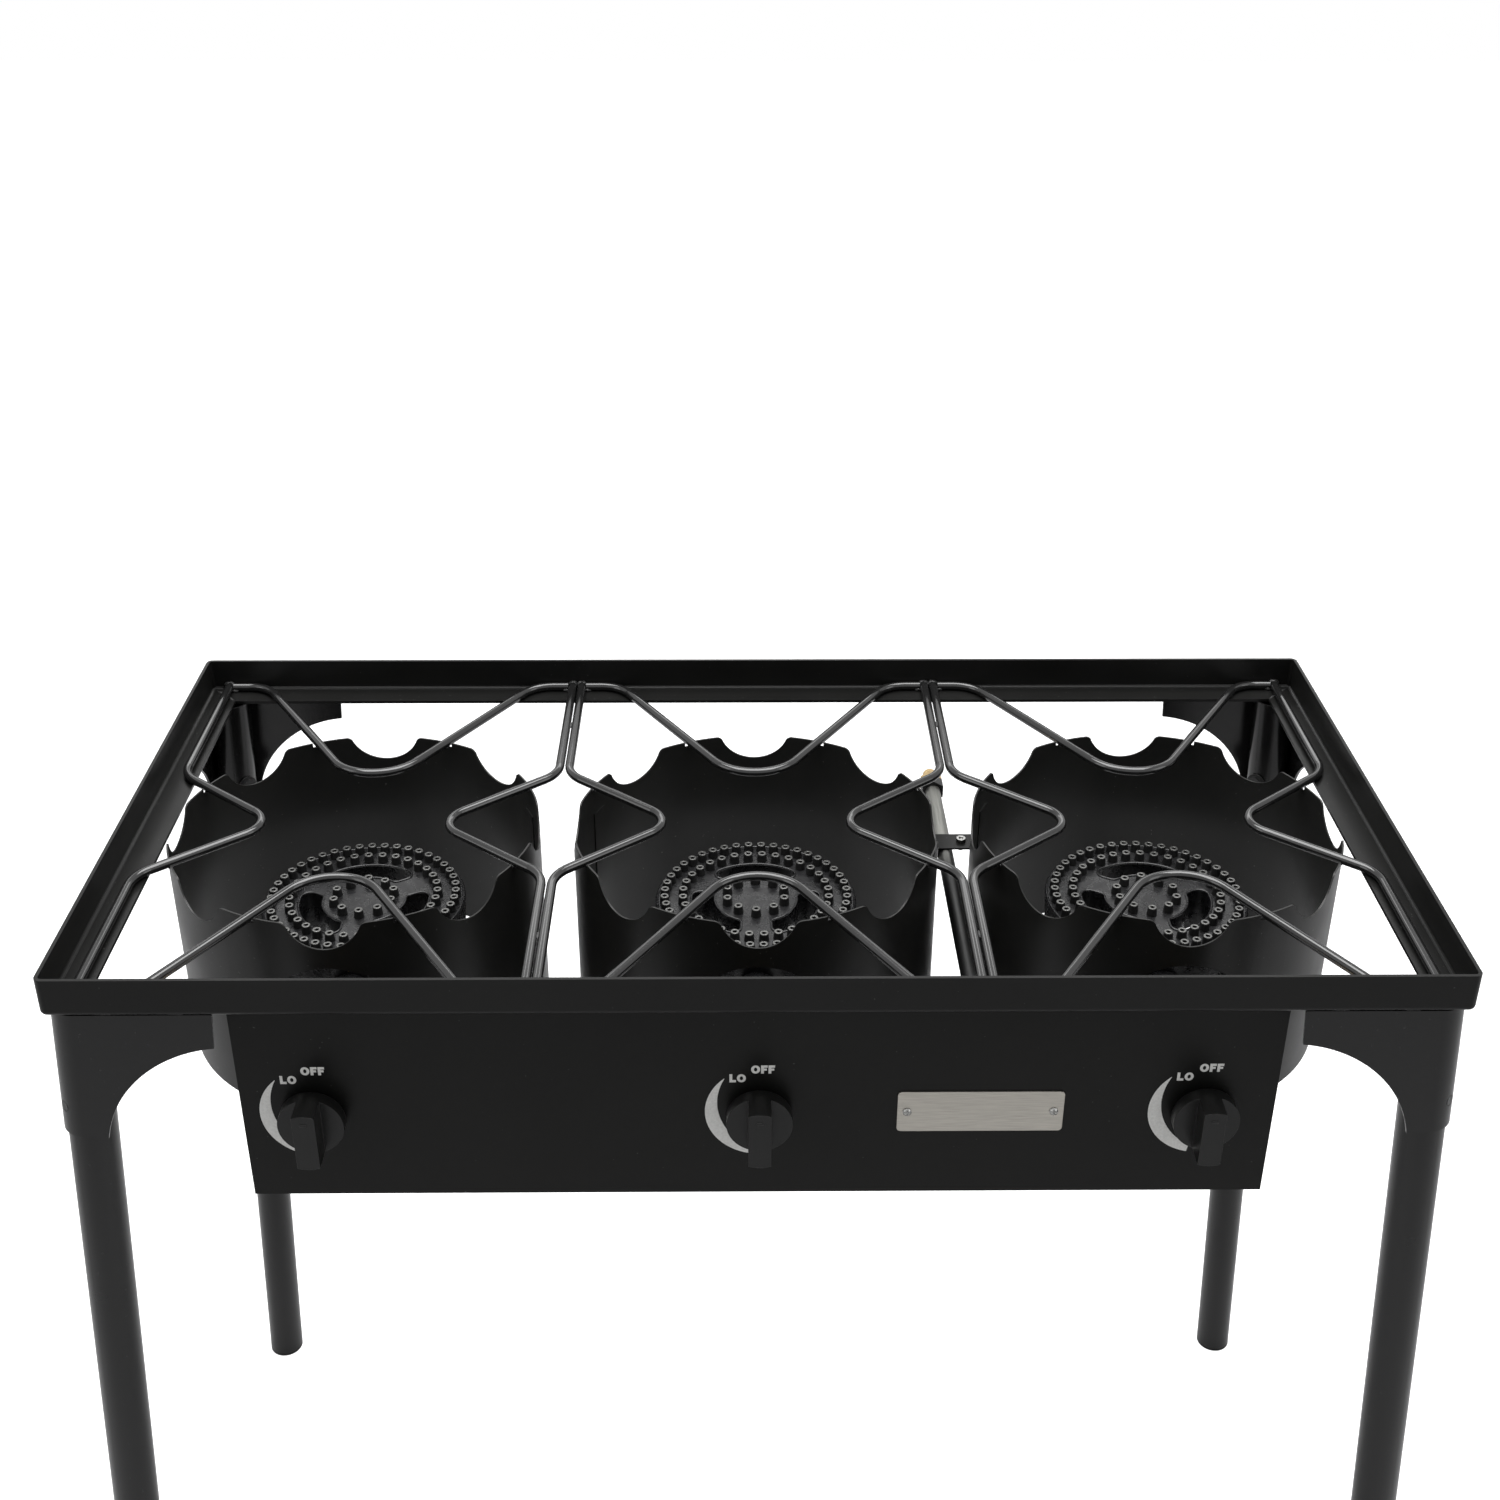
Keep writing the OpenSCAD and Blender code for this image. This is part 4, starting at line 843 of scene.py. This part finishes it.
def crescent(axis):
    """Quads of the flame crescent round a knob's axis, each between its two arcs."""
    span = CRESCENT_END - CRESCENT_START
    edges = []
    for i in range(CRESCENT_STEPS + 1):
        turn = math.radians(CRESCENT_START + span * i / CRESCENT_STEPS)
        way = Vector((-math.sin(turn), math.cos(turn)))
        inner = line_meets_circle(-CRESCENT_INNER_CENTRE, way, CRESCENT_INNER_R)
        edges.append((axis + CRESCENT_OUTER_R * way, axis + (CRESCENT_INNER_CENTRE + inner)))
    quads = []
    for (outer_a, inner_a), (outer_b, inner_b) in zip(edges, edges[1:]):
        quads.append([outer_a, outer_b, inner_b, inner_a])
    return quads


def knob_marks(bm, cell):
    """OFF, LO and the flame crescent printed round one knob."""
    axis = Vector((cell * CELL_PITCH, TUBE_Z))
    outlines = word((axis.x + OFF_PLACE[0], OFF_PLACE[1]), "OFF")
    outlines += word((axis.x + LO_PLACE[0], LO_PLACE[1]), "LO")
    outlines += crescent(axis)
    back = PANEL_FACE_Y - MARK_GAP
    front = back - MARK_T
    for outline in outlines:
        prism(bm, [(x, back, z) for x, z in outline], [(x, front, z) for x, z in outline])


def head_level(x, z, share):
    """Height of a screw head's face over a point, share of the way out to its rim."""
    level = max(HEAD_H * (1 - share**4), HEAD_RIM_SHARE * HEAD_H)
    across, along = sorted((abs(x), abs(z)))
    if across < CROSS_HALF_W and along < CROSS_HALF_L:
        level -= CROSS_DEPTH_SHARE * HEAD_H * (1 - along / CROSS_HALF_L * CROSS_TAPER)
    return level


def pan_head(bm, centre):
    """A domed screw head facing -Y with a cross recess."""
    rings, sides = 14, 64
    grid = [[bm.verts.new(centre + Vector((0, -HEAD_H, 0)))]]
    for r in range(1, rings + 1):
        share = r / rings
        row = []
        for k in range(sides):
            angle = 2 * math.pi * k / sides
            x, z = share * HEAD_R * math.cos(angle), share * HEAD_R * math.sin(angle)
            row.append(bm.verts.new(centre + Vector((x, -head_level(x, z, share), z))))
        grid.append(row)
    skirt = [bm.verts.new(v.co + Vector((0, centre.y - v.co.y, 0))) for v in grid[-1]]
    grid.append(skirt)
    for k in range(sides):
        bm.faces.new((grid[0][0], grid[1][k], grid[1][(k + 1) % sides]))
    for inner, outer in zip(grid[1:], grid[2:]):
        for k in range(sides):
            j = (k + 1) % sides
            bm.faces.new((inner[k], inner[j], outer[j], outer[k]))
    bm.faces.new(skirt)


def plate_screw_heads(bm):
    """The name plate's two screw heads, in the place of the CAD's plain ones."""
    for side in (-1, 1):
        x = PLATE_X + side * PLATE_SCREW_PITCH / 2
        pan_head(bm, Vector((x, PANEL_FACE_Y - PLATE_T, TUBE_Z)))


def knob_pip(bm, cell):
    """The small raised pointer at the top of a knob's grip."""
    centre = Vector((cell * CELL_PITCH, KNOB_FRONT_Y - GRIP_L, TUBE_Z + PIP_RISE))
    made = bmesh.ops.create_cube(bm, size=1)
    for vert in made["verts"]:
        vert.co = Vector((vert.co.x * PIP[0], vert.co.y * PIP[1], vert.co.z * PIP[2])) + centre
    edges = bm.edges[:]
    bmesh.ops.bevel(bm, geom=edges, offset=PIP_EDGE_R, segments=2, affect="EDGES", profile=0.5)


def add_pieces():
    """Makes every piece that only the scene has."""
    piece("frame_weld_beads", frame_welds, WELD)
    piece("rail_fillets", rail_fillets, COATS["frame_paint"])
    piece("wire_weld_lumps", wire_welds, WELD)
    piece("strap_weld_beads", strap_welds, WELD)
    piece("gas_line_braze", gas_line_welds, WELD)
    for name, cell in CELLS.items():
        seam = partial(seam_strip, cell=cell, start=SEAM_ANGLES[name], turn=SEAM_TURNS[name])
        trim = partial(burner_trim, cell=cell)
        marks = partial(knob_marks, cell=cell)
        pip = partial(knob_pip, cell=cell)
        piece(f"{name}_guard_seam", seam, COATS["guard_paint"], smooth=False)
        piece(f"{name}_burner_trim", trim, COATS["cast_iron"], smooth=False)
        piece(f"{name}_knob_marks", marks, MARK_INK, smooth=False)
        piece(f"{name}_knob_pip", pip, COATS["knob_plastic"], f"{name}_control")
    heads = piece("plate_screw_heads", plate_screw_heads, COATS["zinc_steel"])
    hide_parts("plate_screws")


# ---- stage, lights and camera --------------------------------------------------------------------
FLOOR_SIZE = 14
FLOOR_PLACE = (0, 1.5, 0)
FLOOR_TONE = (0.55, 0.55, 0.555, 1)
FLOOR_GLOW = 0.8
WHITE = (1, 1, 1, 1)
WORLD_LIGHT = 0.45
WORLD_SEEN = 1.0
# Name, place, aim, size in metres and power in watts of each light
LIGHTS = (
    ("top_softbox", (0, 0.3, 3.2), (0, 0, 0.7), (2.6, 2.0), 130),
    ("left_softbox", (-2.8, -1.0, 1.9), (0, 0, 0.7), (1.4, 2.0), 14),
    ("right_softbox", (2.8, -1.0, 1.9), (0, 0, 0.7), (1.4, 2.0), 14),
    ("rear_strip", (0, 2.6, 2.4), (0, 0, 0.75), (3.0, 0.35), 10),
)


def seen_ray(tree):
    """1 for camera, glossy and transmission rays, 0 for the rest."""
    rays = tree.nodes.new("ShaderNodeLightPath")
    seen = rays.outputs["Is Camera Ray"]
    for kind in ("Is Glossy Ray", "Is Transmission Ray"):
        either = tree.nodes.new("ShaderNodeMath")
        either.operation = "MAXIMUM"
        tree.links.new(seen, either.inputs[0])
        tree.links.new(rays.outputs[kind], either.inputs[1])
        seen = either.outputs["Value"]
    return seen


def make_floor():
    """Pale floor that the camera sees as white, with the object's shadow on it."""
    bpy.ops.mesh.primitive_plane_add(size=FLOOR_SIZE, location=FLOOR_PLACE)
    floor = bpy.context.object
    floor.name = "floor"
    material = bpy.data.materials.new("floor_white")
    material.use_nodes = True
    tree = material.node_tree
    tree.nodes.clear()
    output = tree.nodes.new("ShaderNodeOutputMaterial")
    diffuse = tree.nodes.new("ShaderNodeBsdfDiffuse")
    diffuse.inputs["Color"].default_value = FLOOR_TONE
    glow = tree.nodes.new("ShaderNodeEmission")
    rays = tree.nodes.new("ShaderNodeLightPath")
    level = tree.nodes.new("ShaderNodeMath")
    level.operation = "MULTIPLY"
    level.inputs[1].default_value = FLOOR_GLOW
    add = tree.nodes.new("ShaderNodeAddShader")
    tree.links.new(rays.outputs["Is Camera Ray"], level.inputs[0])
    tree.links.new(level.outputs["Value"], glow.inputs["Strength"])
    tree.links.new(diffuse.outputs["BSDF"], add.inputs[0])
    tree.links.new(glow.outputs["Emission"], add.inputs[1])
    tree.links.new(add.outputs["Shader"], output.inputs["Surface"])
    floor.data.materials.append(material)


def make_world():
    """White where it is seen or reflected, and a softer fill light for the rest."""
    world = bpy.data.worlds.new("studio")
    scene.world = world
    world.use_nodes = True
    tree = world.node_tree
    tree.nodes.clear()
    output = tree.nodes.new("ShaderNodeOutputWorld")
    mix = tree.nodes.new("ShaderNodeMixShader")
    tree.links.new(seen_ray(tree), mix.inputs["Fac"])
    for socket, strength in ((1, WORLD_LIGHT), (2, WORLD_SEEN)):
        background = tree.nodes.new("ShaderNodeBackground")
        background.inputs["Color"].default_value = WHITE
        background.inputs["Strength"].default_value = strength
        tree.links.new(background.outputs["Background"], mix.inputs[socket])
    tree.links.new(mix.outputs["Shader"], output.inputs["Surface"])


def area_light(name, place, target, size, power):
    """A rectangular area light that faces its target."""
    data = bpy.data.lights.new(name, "AREA")
    data.shape = "RECTANGLE"
    data.size, data.size_y = size
    data.energy = power
    light = bpy.data.objects.new(name, data)
    scene.collection.objects.link(light)
    light.location = place
    aim = Vector(target) - Vector(place)
    light.rotation_euler = aim.to_track_quat("-Z", "Y").to_euler()


def make_lights():
    """The soft boxes over and beside the stand, and the strip behind it."""
    for light in LIGHTS:
        area_light(*light)


def make_camera():
    """The camera of the photograph's view."""
    data = bpy.data.cameras.new("camera")
    data.sensor_fit = "HORIZONTAL"
    data.sensor_width = SENSOR_WIDTH
    data.lens = CAMERA_FOCAL_PX / PHOTO_PX * SENSOR_WIDTH
    camera = bpy.data.objects.new("camera", data)
    scene.collection.objects.link(camera)
    forward = Vector((
        math.sin(CAMERA_YAW) * math.cos(CAMERA_PITCH),
        math.cos(CAMERA_YAW) * math.cos(CAMERA_PITCH),
        -math.sin(CAMERA_PITCH),
    ))
    right = Vector((math.cos(CAMERA_YAW), -math.sin(CAMERA_YAW), 0))
    up = right.cross(forward)
    rolled_right = math.cos(CAMERA_ROLL) * right + math.sin(CAMERA_ROLL) * up
    rolled_up = -math.sin(CAMERA_ROLL) * right + math.cos(CAMERA_ROLL) * up
    turn = Matrix((rolled_right, rolled_up, -forward)).transposed()
    camera.matrix_world = Matrix.Translation(CAMERA_PLACE) @ turn.to_4x4()
    scene.camera = camera


dress_cad_nodes()
add_pieces()
make_floor()
make_world()
make_lights()
make_camera()
scene.view_settings.view_transform = "Standard"
